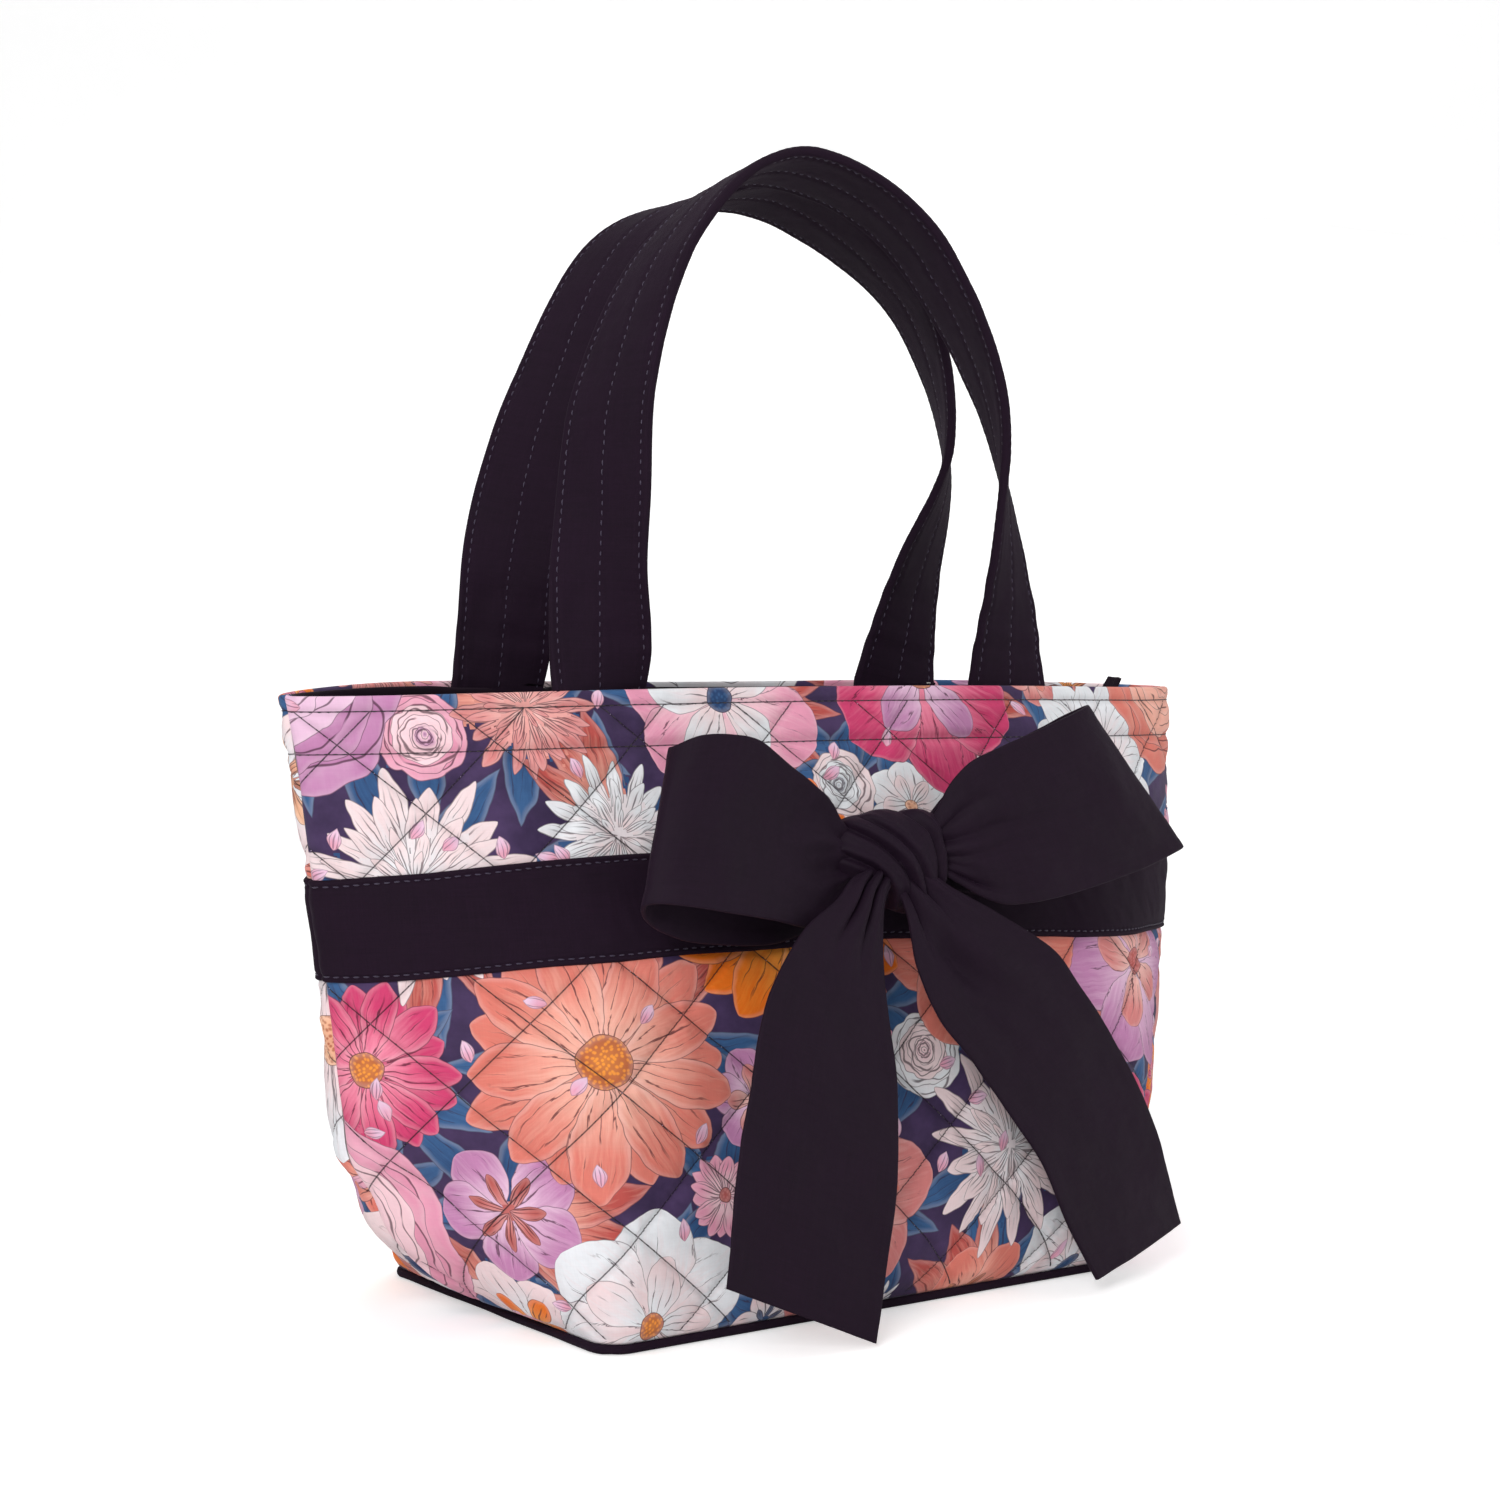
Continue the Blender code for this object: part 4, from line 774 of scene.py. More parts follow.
def paint(ob, X, S, faces, paper, layers=LAYERS, margin=1.9):
    """Writes, for each face, the topmost shapes that cross it."""
    X, S = X.reshape(-1), S.reshape(-1)
    F = faces
    nf = len(F)
    idx = np.full((nf, layers), -1, int)
    under = np.zeros((nf, 4))
    mean = np.array([[0.5 * (p + q) for p, q in zip(e[7], e[8])] for e in paper.e])
    fx, fy = X[F].mean(1), S[F].mean(1)
    for k, e in enumerate(paper.e):
        x, y, ang, L, W, kind = e[:6]
        reach = L + 4 + margin
        near = np.where((np.abs(fx - x) < reach) & (np.abs(fy - y) < reach))[0]
        if not len(near):
            continue
        vx, vy = X[F[near]] - x, S[F[near]] - y
        lx = math.cos(ang) * vx + math.sin(ang) * vy
        ly = -math.sin(ang) * vx + math.cos(ang) * vy
        if kind in (0, 3):
            t = np.clip(lx / L, 0, 1)
            pw, q = (1.35, 0.60) if kind == 0 else (0.90, 0.95)
            hw = W * np.abs(np.sin(PI * t ** pw)) ** q
            d = np.minimum(hw - np.abs(ly), np.minimum(lx, L - lx) + 0.0)
        else:
            r = np.hypot(lx, ly)
            d = L * (0.90 + (0.10 if kind == 1 else 0.1)) - r
        some = (d > -margin).any(1)
        full = (d > (margin if kind != 1 else margin + 0.1 * L)).all(1)
        sel = near[some]
        drop = idx[sel, -1]
        lost = drop >= 0
        under[sel[lost], :3] = mean[drop[lost]]
        under[sel[lost], 3] = 1.0
        idx[sel, 1:] = idx[sel, :-1]
        idx[sel, 0] = k
        cov = near[full]
        idx[cov, 1:] = -1
        under[cov] = 0
    me = ob.data
    E = paper.e
    ax = np.array([[e[0], e[1], e[2]] for e in E] + [[0, 0, 0]], float)
    form = np.array([[e[3], e[4], e[5]] for e in E] + [[1, 1, 0]], float)
    seed = np.array([e[6] for e in E] + [0.0])
    inner = np.array([list(e[7]) + [e[9]] for e in E] + [[0, 0, 0, 0]], float)
    outer = np.array([list(e[8]) + [1.0] for e in E] + [[0, 0, 0, 0]], float)
    a = me.attributes.new("under", "FLOAT_COLOR", "CORNER")
    a.data.foreach_set("color", np.repeat(under, 4, axis=0).astype(np.float32).ravel())
    for k in range(layers):
        ii = idx[:, k]
        vx, vy = X[F] - ax[ii, 0][:, None], S[F] - ax[ii, 1][:, None]
        c, s = np.cos(ax[ii, 2])[:, None], np.sin(ax[ii, 2])[:, None]
        co = np.stack([c * vx + s * vy, -s * vx + c * vy, np.broadcast_to(seed[ii][:, None], vx.shape)], -1)
        a = me.attributes.new(f"shape{k}", "FLOAT_VECTOR", "CORNER")
        a.data.foreach_set("vector", co.astype(np.float32).ravel())
        a = me.attributes.new(f"form{k}", "FLOAT_VECTOR", "FACE")
        a.data.foreach_set("vector", form[ii].astype(np.float32).ravel())
        a = me.attributes.new(f"inner{k}", "FLOAT_COLOR", "CORNER")
        a.data.foreach_set("color", np.repeat(inner[ii], 4, axis=0).astype(np.float32).ravel())
        a = me.attributes.new(f"outer{k}", "FLOAT_COLOR", "CORNER")
        a.data.foreach_set("color", np.repeat(outer[ii], 4, axis=0).astype(np.float32).ravel())


m_print = print_material("floral_print")
up = np.array([0.0, 0.0, 1.0])
PARTS = {}


def shell(side, name, paper):
    nu, nh = ((397, 217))
    xs, ss = np.linspace(-HALF_MM, HALF_MM, nu), np.linspace(0, TALL_MM, nh)
    X, S = np.meshgrid(xs, ss, indexing="ij")
    P, N = skin(side, X, S, puff(side, X, S))
    cols, cx, cs = [], [], []
    for k, (dep, dz) in enumerate(((4.0, -0.1), (1.6, -0.2), (0.5, -0.15))):
        cols.append(P[:, 0] - N[:, 0] * dep * 1e-3 + up * dz * 1e-3)
        cx.append(xs)
        cs.append(0 * xs - 3.2 + k)
    top, nt = P[:, -1], N[:, -1].copy()
    nt[:, 2] = 0
    nt = unit(nt)
    r = 1.25
    roll, rx, rs = [], [], []
    for k in range(1, 8):
        f = PI * k / 7
        roll.append(top - nt * (r * (1 - math.cos(f))) * 1e-3 + up * (r * math.sin(f)) * 1e-3)
        rx.append(xs)
        rs.append(0 * xs + TALL_MM + r * f)
    for k in range(1, 5):
        q, qn = skin(side, xs, 0 * xs + TALL_MM - 1.6 * k, 0 * xs + 0.55 - 2 * r - 0.1)
        roll.append(q)
        rx.append(xs)
        rs.append(0 * xs + TALL_MM + r * PI + 1.6 * k)
    st = lambda a: [c[:, None] for c in a]
    P = np.concatenate(st(cols) + [P] + st(roll), 1)
    X = np.concatenate(st(cx) + [X] + st(rx), 1)
    S = np.concatenate(st(cs) + [S] + st(rs), 1)
    F = grid_faces(P.shape[0], P.shape[1], flip=side < 0)
    ob = make(name, P, F, m_print, np.stack([X, S], -1))
    paint(ob, X, S, F, paper)
    return ob


def u_of_x(side, x, h):
    us = np.linspace(-1, 1, 801)
    w = wall(side, us, h)
    return np.interp(x, w[:, 0], us)


STRAP_U = {s: [float(u_of_x(s, v, 1.0)) for v in (-0.0902, 0.0912)] for s in (-1, 1)}


def facing(side, name):
    nu = 321
    xs = np.linspace(-HALF_MM + 1.5, HALF_MM - 1.5, nu)
    low = FACING_LOW * TALL_MM
    ss = np.linspace(low, TALL_MM - 0.6, 16)
    X, S = np.meshgrid(xs, ss, indexing="ij")
    bulge = sum(gauss(np.maximum(np.abs(X - u * HALF_MM) - 19.0, 0), 5.0) for u in STRAP_U[side])

    def depth(X, S, b):
        d = 4.3 + 3.6 * b * sstep(S, low - 6, TALL_MM - 8) + 0.25 * fnoise(X / 14, S / 9, 31)
        d = d - 0.5 * gauss(S - ROW1, 1.2)
        return d - 1.2 * gauss(HALF_MM - np.abs(X), 3.0)
    D = depth(X, S, bulge)
    P, N = skin(side, X, S, -D)
    top, nt = P[:, -1], N[:, -1].copy()
    nt[:, 2] = 0
    nt = unit(nt)
    r = 0.8
    roll, rs = [], []
    for k in range(1, 6):
        f = PI * k / 5
        roll.append(top + nt * (r * (1 - math.cos(f))) * 1e-3 + up * (r * math.sin(f)) * 1e-3)
        rs.append(0 * xs + TALL_MM + r * f)
    for k in range(1, 3):
        roll.append(top + nt * (2 * r) * 1e-3 - up * (2.0 * k) * 1e-3)
        rs.append(0 * xs + TALL_MM + r * PI + 2.0 * k)
    bot, nb = P[:, 0], N[:, 0]
    hem = [bot + nb * 0.9e-3 - up * 0.1e-3, bot + nb * 0.4e-3 - up * 0.6e-3]
    P = np.concatenate([c[:, None] for c in hem] + [P] + [c[:, None] for c in roll], 1)
    S = np.concatenate([(0 * xs + low - 2)[:, None], (0 * xs + low - 1)[:, None], S] + [c[:, None] for c in rs], 1)
    X = np.repeat(xs[:, None], P.shape[1], 1)
    S = S - low
    F = grid_faces(P.shape[0], P.shape[1], flip=side > 0)
    ob = make(name, P, F, m_lining, np.stack([X, S], -1))
    return ob


def inner_sheet(side, name, s0, s1, nu, ns, depth, mat, thick=0.8):
    xs, ss = np.linspace(-HALF_MM + 1.2, HALF_MM - 1.2, nu), np.linspace(s0, s1, ns)
    X, S = np.meshgrid(xs, ss, indexing="ij")
    D = depth(X, S)
    a, _ = skin(side, X, S, -D)
    b, _ = skin(side, X, S, -D - thick)
    return closed_sheet(name, a, b, np.stack([X, S], -1), mat)


def band(side, name):
    nu = 401
    xs = np.linspace(-HALF_MM, HALF_MM, nu)
    lo, hi = BAND_LOW * TALL_MM, BAND_HIGH * TALL_MM
    w = hi - lo
    tt = np.concatenate([[-0.3, 0.0, 0.12, 0.35, 0.8, 1.4, 2.1], np.linspace(2.6, 5.0, 10), np.linspace(5.8, w - 5.8, 18),
                         w - np.linspace(5.0, 2.6, 10), w - np.array([2.1, 1.4, 0.8, 0.35, 0.12, 0.0, -0.3])])
    X, T = np.meshgrid(xs, tt, indexing="ij")
    e = np.minimum(T, w - T)
    wav = 0.5 * vnoise(X / 26, T * 0 + (T > w / 2) * 9, 41)
    S = lo + T + wav + band_lift(side, X)
    hgt = 2.0 * np.sqrt(np.clip(1 - (1 - np.clip(e / 0.9, 0, 1)) ** 2, 0, 1)) - 0.5 * (e < 0.05)
    hgt = hgt - 0.55 * gauss(e - 2.3, 0.7) + 0.28 * sstep(e, 3.4, 9) + 0.1 * gauss(e - 1.2, 0.6)
    hgt = hgt + 0.12 * gauss(e - 2.6, 1.2) * np.sin(X * 1.85 + 2 * vnoise(X / 6, T, 42))
    hgt = hgt + sstep(e, 3, 7) * (0.42 * fnoise(X / 17, T / 13, 43) + 0.16 * vnoise(X / 4 + T / 9, T / 6, 44))
    edge = HALF_MM - np.abs(X)
    hgt = hgt - 1.4 * gauss(edge, 1.3)
    P, N = skin(side, X, S, hgt)
    ob = make(name, P, grid_faces(nu, len(tt), flip=side < 0), m_plum, np.stack([X, S], -1))
    pts, dirs, nrm = [], [], []
    xq = np.arange(-HALF_MM + 3, HALF_MM - 3, 3.4)
    for t in (2.3, w - 2.3):
        s = lo + t + band_lift(side, xq) + 0.5 * vnoise(xq / 26, (t > w / 2) * 9, 41) + 0.12 * vnoise(xq / 5, t, 45)
        base = 2.0 - 0.55 + 0.1
        p0, n0 = skin(side, xq, s, 0 * xq + base)
        p1, _ = skin(side, xq + 0.5, s + 0.06 * vnoise(xq, t, 46), 0 * xq + base)
        pts.append(p0)
        dirs.append(p1 - p0)
        nrm.append(n0)
    st = stitch_set(name + "_topstitch", np.concatenate(pts), np.concatenate(dirs), np.concatenate(nrm), 0.0024, 0.00026, m_stitch)
    return ob, st


def quilting(side, name):
    """Quilting thread on both families of lines, plus the two rows under the rim."""
    pts, dirs, nrm = [], [], []
    sp = []
    step = 3.0
    for fam in (1, -1):
        for k in range(-12, 13):
            s = np.arange(3.0, ROW1 - 1.0, step * QS / math.hypot(QX, QS) * 1.0)
            x = QX0 + QX * (k - fam * (s - QS0) / QS)
            ok = (np.abs(x) < HALF_MM - 3) & ~((s - band_lift(side, x) > BAND_LOW * TALL_MM - 1) & (s - band_lift(side, x) < BAND_HIGH * TALL_MM + 1))
            x, s = x[ok], s[ok]
            if not len(x):
                continue
            jx = 0.18 * vnoise(s * 0.9 + k, x * 0, 61)
            d = np.array([-fam * QX, QS]) / math.hypot(QX, QS)
            off = puff(side, x + jx, s)
            p0, n0 = skin(side, x + jx, s, off)
            p1, _ = skin(side, x + jx + d[0] * 0.6, s + d[1] * 0.6, puff(side, x + jx + d[0] * 0.6, s + d[1] * 0.6))
            pts.append(p0)
            dirs.append(p1 - p0)
            nrm.append(n0)
            p2, n2 = skin(side, x + jx + d[0] * step / 2, s + d[1] * step / 2, puff(side, x + jx + d[0] * step / 2, s + d[1] * step / 2))
            sp.append((p2, p1 - p0, n2))
    xq = np.arange(-HALF_MM + 3, HALF_MM - 3, 3.0)
    for s0 in (ROW1, ROW2):
        s = s0 + 0.15 * vnoise(xq / 8, s0, 62)
        off = puff(side, xq, s)
        p0, n0 = skin(side, xq, s, off)
        p1, _ = skin(side, xq + 0.5, s, puff(side, xq + 0.5, s))
        pts.append(p0)
        dirs.append(p1 - p0)
        nrm.append(n0)
    a = stitch_set(name, np.concatenate(pts), np.concatenate(dirs), np.concatenate(nrm), 0.0026, 0.00024, m_quilt, lift=0.6, rings=3)
    q = [np.concatenate([v[i] for v in sp]) for i in range(3)]
    keep = np.random.default_rng(5).random(len(q[0])) < 0.45
    b = stitch_set(name + "_specks", q[0][keep], q[1][keep], q[2][keep], 0.0005, 0.00016, m_speck, lift=0.3, rings=3)
    return a, b


for side, word in ((-1, "front"), (1, "back")):
    ob = shell(side, f"{word}_quilted_shell", floral_paper(5 if side < 0 else 23, 2 * HALF_MM + 20, TALL_MM))
    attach(ob, "bag")
    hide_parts(f"{word}_panel")
    PARTS[word] = ob
    ob = facing(side, f"{word}_rim_facing")
    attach(ob, "bag")
    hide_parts(f"{word}_facing")
    ob = inner_sheet(side, f"{word}_wadding_layer", 3, TALL_MM * 0.985, 121, 61,
                     lambda X, S: 1.7 - 0.35 * np.clip(puff(side, X, S), 0, 2), m_wadding, 1.3)
    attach(ob, "bag")
    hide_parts(f"{word}_wadding")
    ob = inner_sheet(side, f"{word}_lining_cloth", 3.4, TALL_MM * 0.93, 141, 81,
                     lambda X, S: 3.7 + 0.5 * fnoise(X / 24, S / 30, 51 + side) * sstep(S, 5, 25) * (1 - sstep(S, 170, 205)), m_lining, 0.6)
    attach(ob, "bag")
    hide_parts(f"{word}_lining")
    ob, st = band(side, f"{word}_cloth_band")
    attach(ob, "bag")
    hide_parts(f"{word}_band")
    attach(st, "bag")
    a, b = quilting(side, f"{word}_quilting_thread")
    for o in (a, b):
        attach(o, "bag")


# ---------------------------------------------------------------- base
def rect_loop(inset, count):
    """Closed outline of the base moved in by `inset` metres."""
    a, d = BASE_W / 2 - inset, BASE_D / 2 - inset
    r = min(max(BASE_R - inset, 0.0012), d * 0.98, a * 0.98)
    pts = []
    seg = [(a - r, d - r, 0), (-(a - r), d - r, 90), (-(a - r), -(d - r), 180), (a - r, -(d - r), 270)]
    q = count // 4
    out = []
    arc = np.linspace(0, 90, q // 3)
    for i, (cx, cy, a0) in enumerate(seg):
        for g_ in arc:
            out.append((cx + r * math.cos(math.radians(a0 + g_)), cy + r * math.sin(math.radians(a0 + g_))))
        nx, ny, na = seg[(i + 1) % 4]
        sx, sy = out[-1]
        ex, ey = nx + r * math.cos(math.radians(na)), ny + r * math.sin(math.radians(na))
        n = q - len(arc)
        for k in range(1, n + 1):
            f = k / (n + 1)
            out.append((sx + (ex - sx) * f, sy + (ey - sy) * f))
    return np.array(out)


def base_piece():
    cnt = 480
    prof = [(9.0, 3.2), (3.0, 3.3), (0.6, 3.35), (-0.5, 3.15), (-1.2, 2.6), (-1.45, 1.8), (-1.3, 1.0), (-0.8, 0.4),
            (0.0, 0.08), (1.0, 0.0), (2.2, 0.0), (3.0, 0.35), (3.6, 0.45), (4.2, 0.35), (5.2, 0.0)]
    prof += [(5.2 + (73.4 - 5.2) * k / 60, 0.0) for k in range(1, 61)]
    V, UV = [], []
    for k, (ins, z) in enumerate(prof):
        o = rect_loop(ins * 1e-3, cnt)
        zz = np.full(len(o), z)
        if k < 9:
            arc = np.arange(len(o))
            zz = zz + 0.12 * vnoise(arc / 9.0, k * 0.3, 71)
            o = o * (1 + 0.0012 * vnoise(arc / 14.0, 1.0, 72)[:, None])
        if k >= 15:
            da, db = line_gap(o[:, 0] * 1e3, o[:, 1] * 1e3)
            zz = zz + 0.55 * gauss(np.minimum(da, db), 2.6)
        zz = np.maximum(zz, 0.0)
        V.append(np.column_stack([o, zz * 1e-3]))
        UV.append(np.column_stack([o[:, 0] * 1e3, o[:, 1] * 1e3 + (0 if k >= 9 else z * 1.2)]))
    V = np.array(V)
    f = grid_faces(len(prof), V.shape[1], wrap=True)
    ob = make("base_cloth", V, f, m_plum, np.array(UV))
    fix_out(ob)
    return ob


ob = base_piece()
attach(ob, "bag")
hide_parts("base_panel")
xs, ys = np.linspace(-0.1035, 0.1035, 90), np.linspace(-0.0668, 0.0668, 60)
X, Y = np.meshgrid(xs, ys, indexing="ij")
z = 0.0060 + 0.0003 * fnoise(X / 0.03, Y / 0.03, 81)
edge = np.minimum(0.1035 - np.abs(X), 0.0668 - np.abs(Y))
z = z + 0.0009 * gauss(edge, 0.004)
a = np.stack([X, Y, z], -1)
ob = closed_sheet("base_lining_cloth", a, a - up * 0.0004, np.stack([X * 1e3, Y * 1e3], -1), m_lining)
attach(ob, "bag")
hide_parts("base_lining")


# ---------------------------------------------------------------- recessed zip
def zip_panel(side, name):
    xs = np.linspace(-0.148, 0.148, 110)
    h = 0.905
    uo = u_of_x(side, xs, h)
    po, no = wall(side, uo, h), wall_n(side, uo, h)
    outer = po - no * 0.0050
    inner_y = -0.0130 if side < 0 else 0.0090
    tt = np.concatenate([[0, 0.02, 0.05, 0.1], np.linspace(0.16, 0.84, 14), [0.9, 0.94, 0.97, 0.99, 1.0]])
    T = np.broadcast_to(tt, (len(xs), len(tt)))
    X = np.broadcast_to(xs[:, None], T.shape)
    y = outer[:, 1][:, None] * (1 - T) + inner_y * T
    span = np.abs(outer[:, 1][:, None] - inner_y)
    z = 0.1967 - 0.0022 * np.sin(PI * T) * (span / 0.03) + 0.0005 * fnoise(X / 0.03, T * 2, 91 + side) * np.sin(PI * T)
    z = z - 0.0004 * gauss((1 - T) * span - 0.0022, 0.0009)
    z = z + 0.0003 * gauss(0.148 - np.abs(X), 0.002)
    a = np.stack([X, y, z], -1)
    ob = closed_sheet(name, a, a - up * 0.0007, np.stack([X * 1e3, y * 1e3], -1), m_lining)
    xq = np.arange(-0.145, 0.145, 0.0034)
    yy = inner_y + (-1 if side < 0 else 1) * 0.0022
    pts = np.stack([xq, 0 * xq + yy, 0 * xq + 0.19635], -1)
    st = stitch_set(name + "_topstitch", pts, np.broadcast_to([1.0, 0, 0], pts.shape), np.broadcast_to(up, pts.shape), 0.0024, 0.00022, m_stitch)
    return ob, st


def zip_tape(side, name):
    xs = np.linspace(-0.132, 0.122, 180)
    y0, y1 = (-0.0148, -0.0050) if side < 0 else (0.0010, 0.0108)
    ys = np.linspace(y0, y1, 22)
    X, Y = np.meshgrid(xs, ys, indexing="ij")
    inner = (y1 - Y) if side < 0 else (Y - y0)
    z = 0.19632 + 0.00012 * np.sin(X / 0.0011) * 0.5 + 0.00025 * gauss(inner - 0.0004, 0.0005) + 0.00008 * fnoise(X / 0.01, Y / 0.01, 95)
    z = np.minimum(z, 0.1966)
    a = np.stack([X, Y, z], -1)
    return closed_sheet(name, a, a - up * 0.0005, np.stack([X * 1e3, Y * 1e3], -1), m_tape)


for side, word in ((-1, "front"), (1, "back")):
    ob, st = zip_panel(side, f"zip_gusset_{word}")
    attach(ob, "bag")
    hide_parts(f"zip_panel_{word}")
    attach(st, "bag")
    ob = zip_tape(side, f"zip_tape_cloth_{word}")
    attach(ob, "bag")
    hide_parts(f"zip_tape_{word}")


def ribbon_sheet(name, A, B, sA, sB, ns, nt, relief, thick, mat, edge=1.0, uv_off=0.0, bow=None):
    """Cloth strip between two edge curves (mm). sA, sB map shares 0..1 to curve
    shares; relief(s, t, width) is a lift in mm along the surface normal."""
    s = np.linspace(0, 1, ns)
    t = np.concatenate([[0, 0.004, 0.012, 0.025], np.linspace(0.045, 0.955, nt - 8), [0.975, 0.988, 0.996, 1.0]])
    a, b = resample(A, sA(s)), resample(B, sB(s))
    P = a[:, None] * (1 - t)[None, :, None] + b[:, None] * t[None, :, None]
    if bow is not None:
        P = P + bow(s[:, None], t[None, :])
    w = np.linalg.norm(b - a, axis=1)
    N = grid_normals(P)
    S2, T2 = np.meshgrid(s, t, indexing="ij")
    P = P + N * relief(S2, T2, w[:, None])[..., None]
    N = grid_normals(P)
    e = np.minimum(T2, 1 - T2) * w[:, None]
    hem = thick * 0.5 * (1 + 0.22 * (1 - sstep(e, 3.5, 6.5))) * np.sqrt(np.clip(1 - (1 - np.clip(e / 0.7, 0, 1)) ** 2, 0.02, 1))
    front = (P + N * hem[..., None]) * 1e-3
    back = (P - N * hem[..., None]) * 1e-3
    mid = np.linalg.norm(np.diff(0.5 * (a + b), axis=0), axis=1)
    arc = np.concatenate([[0], np.cumsum(mid)])
    UV = np.stack([np.broadcast_to(arc[:, None], T2.shape) + uv_off, (T2 - 0.5) * 61.0], -1)
    return closed_sheet(name, front, back, UV, mat), front


tab_a = [(122.6, -9.4, 195.0), (138, -9.6, 196.0), (154, -9.6, 198.5), (167, -9.4, 205.5), (173, -9.0, 214.0), (175.5, -8.8, 218.0)]
tab_b = [(122.6, -0.6, 195.0), (138, -0.4, 196.4), (154, -0.4, 199.2), (167, -0.4, 206.2), (173.4, -0.6, 214.6), (176, -0.8, 218.4)]
ob, _ = ribbon_sheet("zip_end_tab_cloth", tab_a, tab_b, lambda s: s, lambda s: s, 60, 22,
                     lambda s, t, w: 0.25 * fnoise(s * 6, t * 2, 97), 1.2, m_lining)
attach(ob, "bag")
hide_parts("zip_end_tab")

for n, mm in (("zip_teeth_front", m_teeth), ("zip_teeth_back", m_teeth), ("zip_top_stop_front", m_metal),
              ("zip_top_stop_back", m_metal), ("zip_bottom_stop", m_metal), ("zip_slider", m_metal), ("zip_pull", m_metal),
              ("base_board", m_board)):
    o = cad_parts[n]
    o.data.materials.clear()
    o.data.materials.append(mm)
    if n in ("zip_slider", "zip_pull", "zip_bottom_stop", "zip_top_stop_front", "zip_top_stop_back"):
        bv = o.modifiers.new("edge", "BEVEL")
        bv.width = 0.00022
        bv.segments = 2
        bv.limit_method = "ANGLE"
        bv.angle_limit = math.radians(35)


# ---------------------------------------------------------------- handles
def strap_path(stations, side, rise):
    """Centre line with frames, carried down between shell and facing."""
    c = np.array(stations, float)
    c[:, :3] *= 0.001
    q = spline_t(c, np.linspace(0, len(stations) - 1, 900))
    p, th = q[:, :3], np.radians(q[:, 3])
    t = unit(np.gradient(p, axis=0))
    n0 = unit(np.stack([-t[:, 2], 0 * th, t[:, 0]], -1))
    e2 = np.cross(n0, t)
    e2 *= np.sign(e2[:, 1:2])
    w = np.cos(th)[:, None] * e2 + np.sin(th)[:, None] * n0
    w = unit(w - t * (w * t).sum(1)[:, None])
    n = np.cross(w, t)
    keep = np.where(p[:, 2] >= RIM_Z + rise - 0.0005)[0]
    p, w, n = p[keep[0]:keep[-1] + 1], w[keep[0]:keep[-1] + 1], n[keep[0]:keep[-1] + 1]
    ends = []
    for e, sgn in ((0, -1), (-1, 1)):
        x0 = p[e, 0]
        zz = np.linspace(p[e, 2], 0.1990, 26)[1:]
        hh = (zz - BASE_T) / (RIM_Z + rise - BASE_T)
        pts = []
        u0 = float(u_of_x(side, x0, 1.0))
        top_y = wall(side, u0, 1.0)[1]
        for z_, h_ in zip(zz, hh):
            u1 = float(u_of_x(side, x0, h_))
            pts.append([x0, p[e, 1] + (wall(side, u1, h_)[1] - top_y), z_])
        ends.append((np.array(pts), np.repeat(w[e][None], len(pts), 0), np.repeat(n[e][None], len(pts), 0)))
    P = np.concatenate([ends[0][0][::-1], p, ends[1][0]])
    W = np.concatenate([ends[0][1][::-1], w, ends[1][1]])
    Nn = np.concatenate([ends[0][2][::-1], n, ends[1][2]])
    arc = np.concatenate([[0], np.cumsum(np.linalg.norm(np.diff(P, axis=0), axis=1))])
    return P, W, Nn, arc


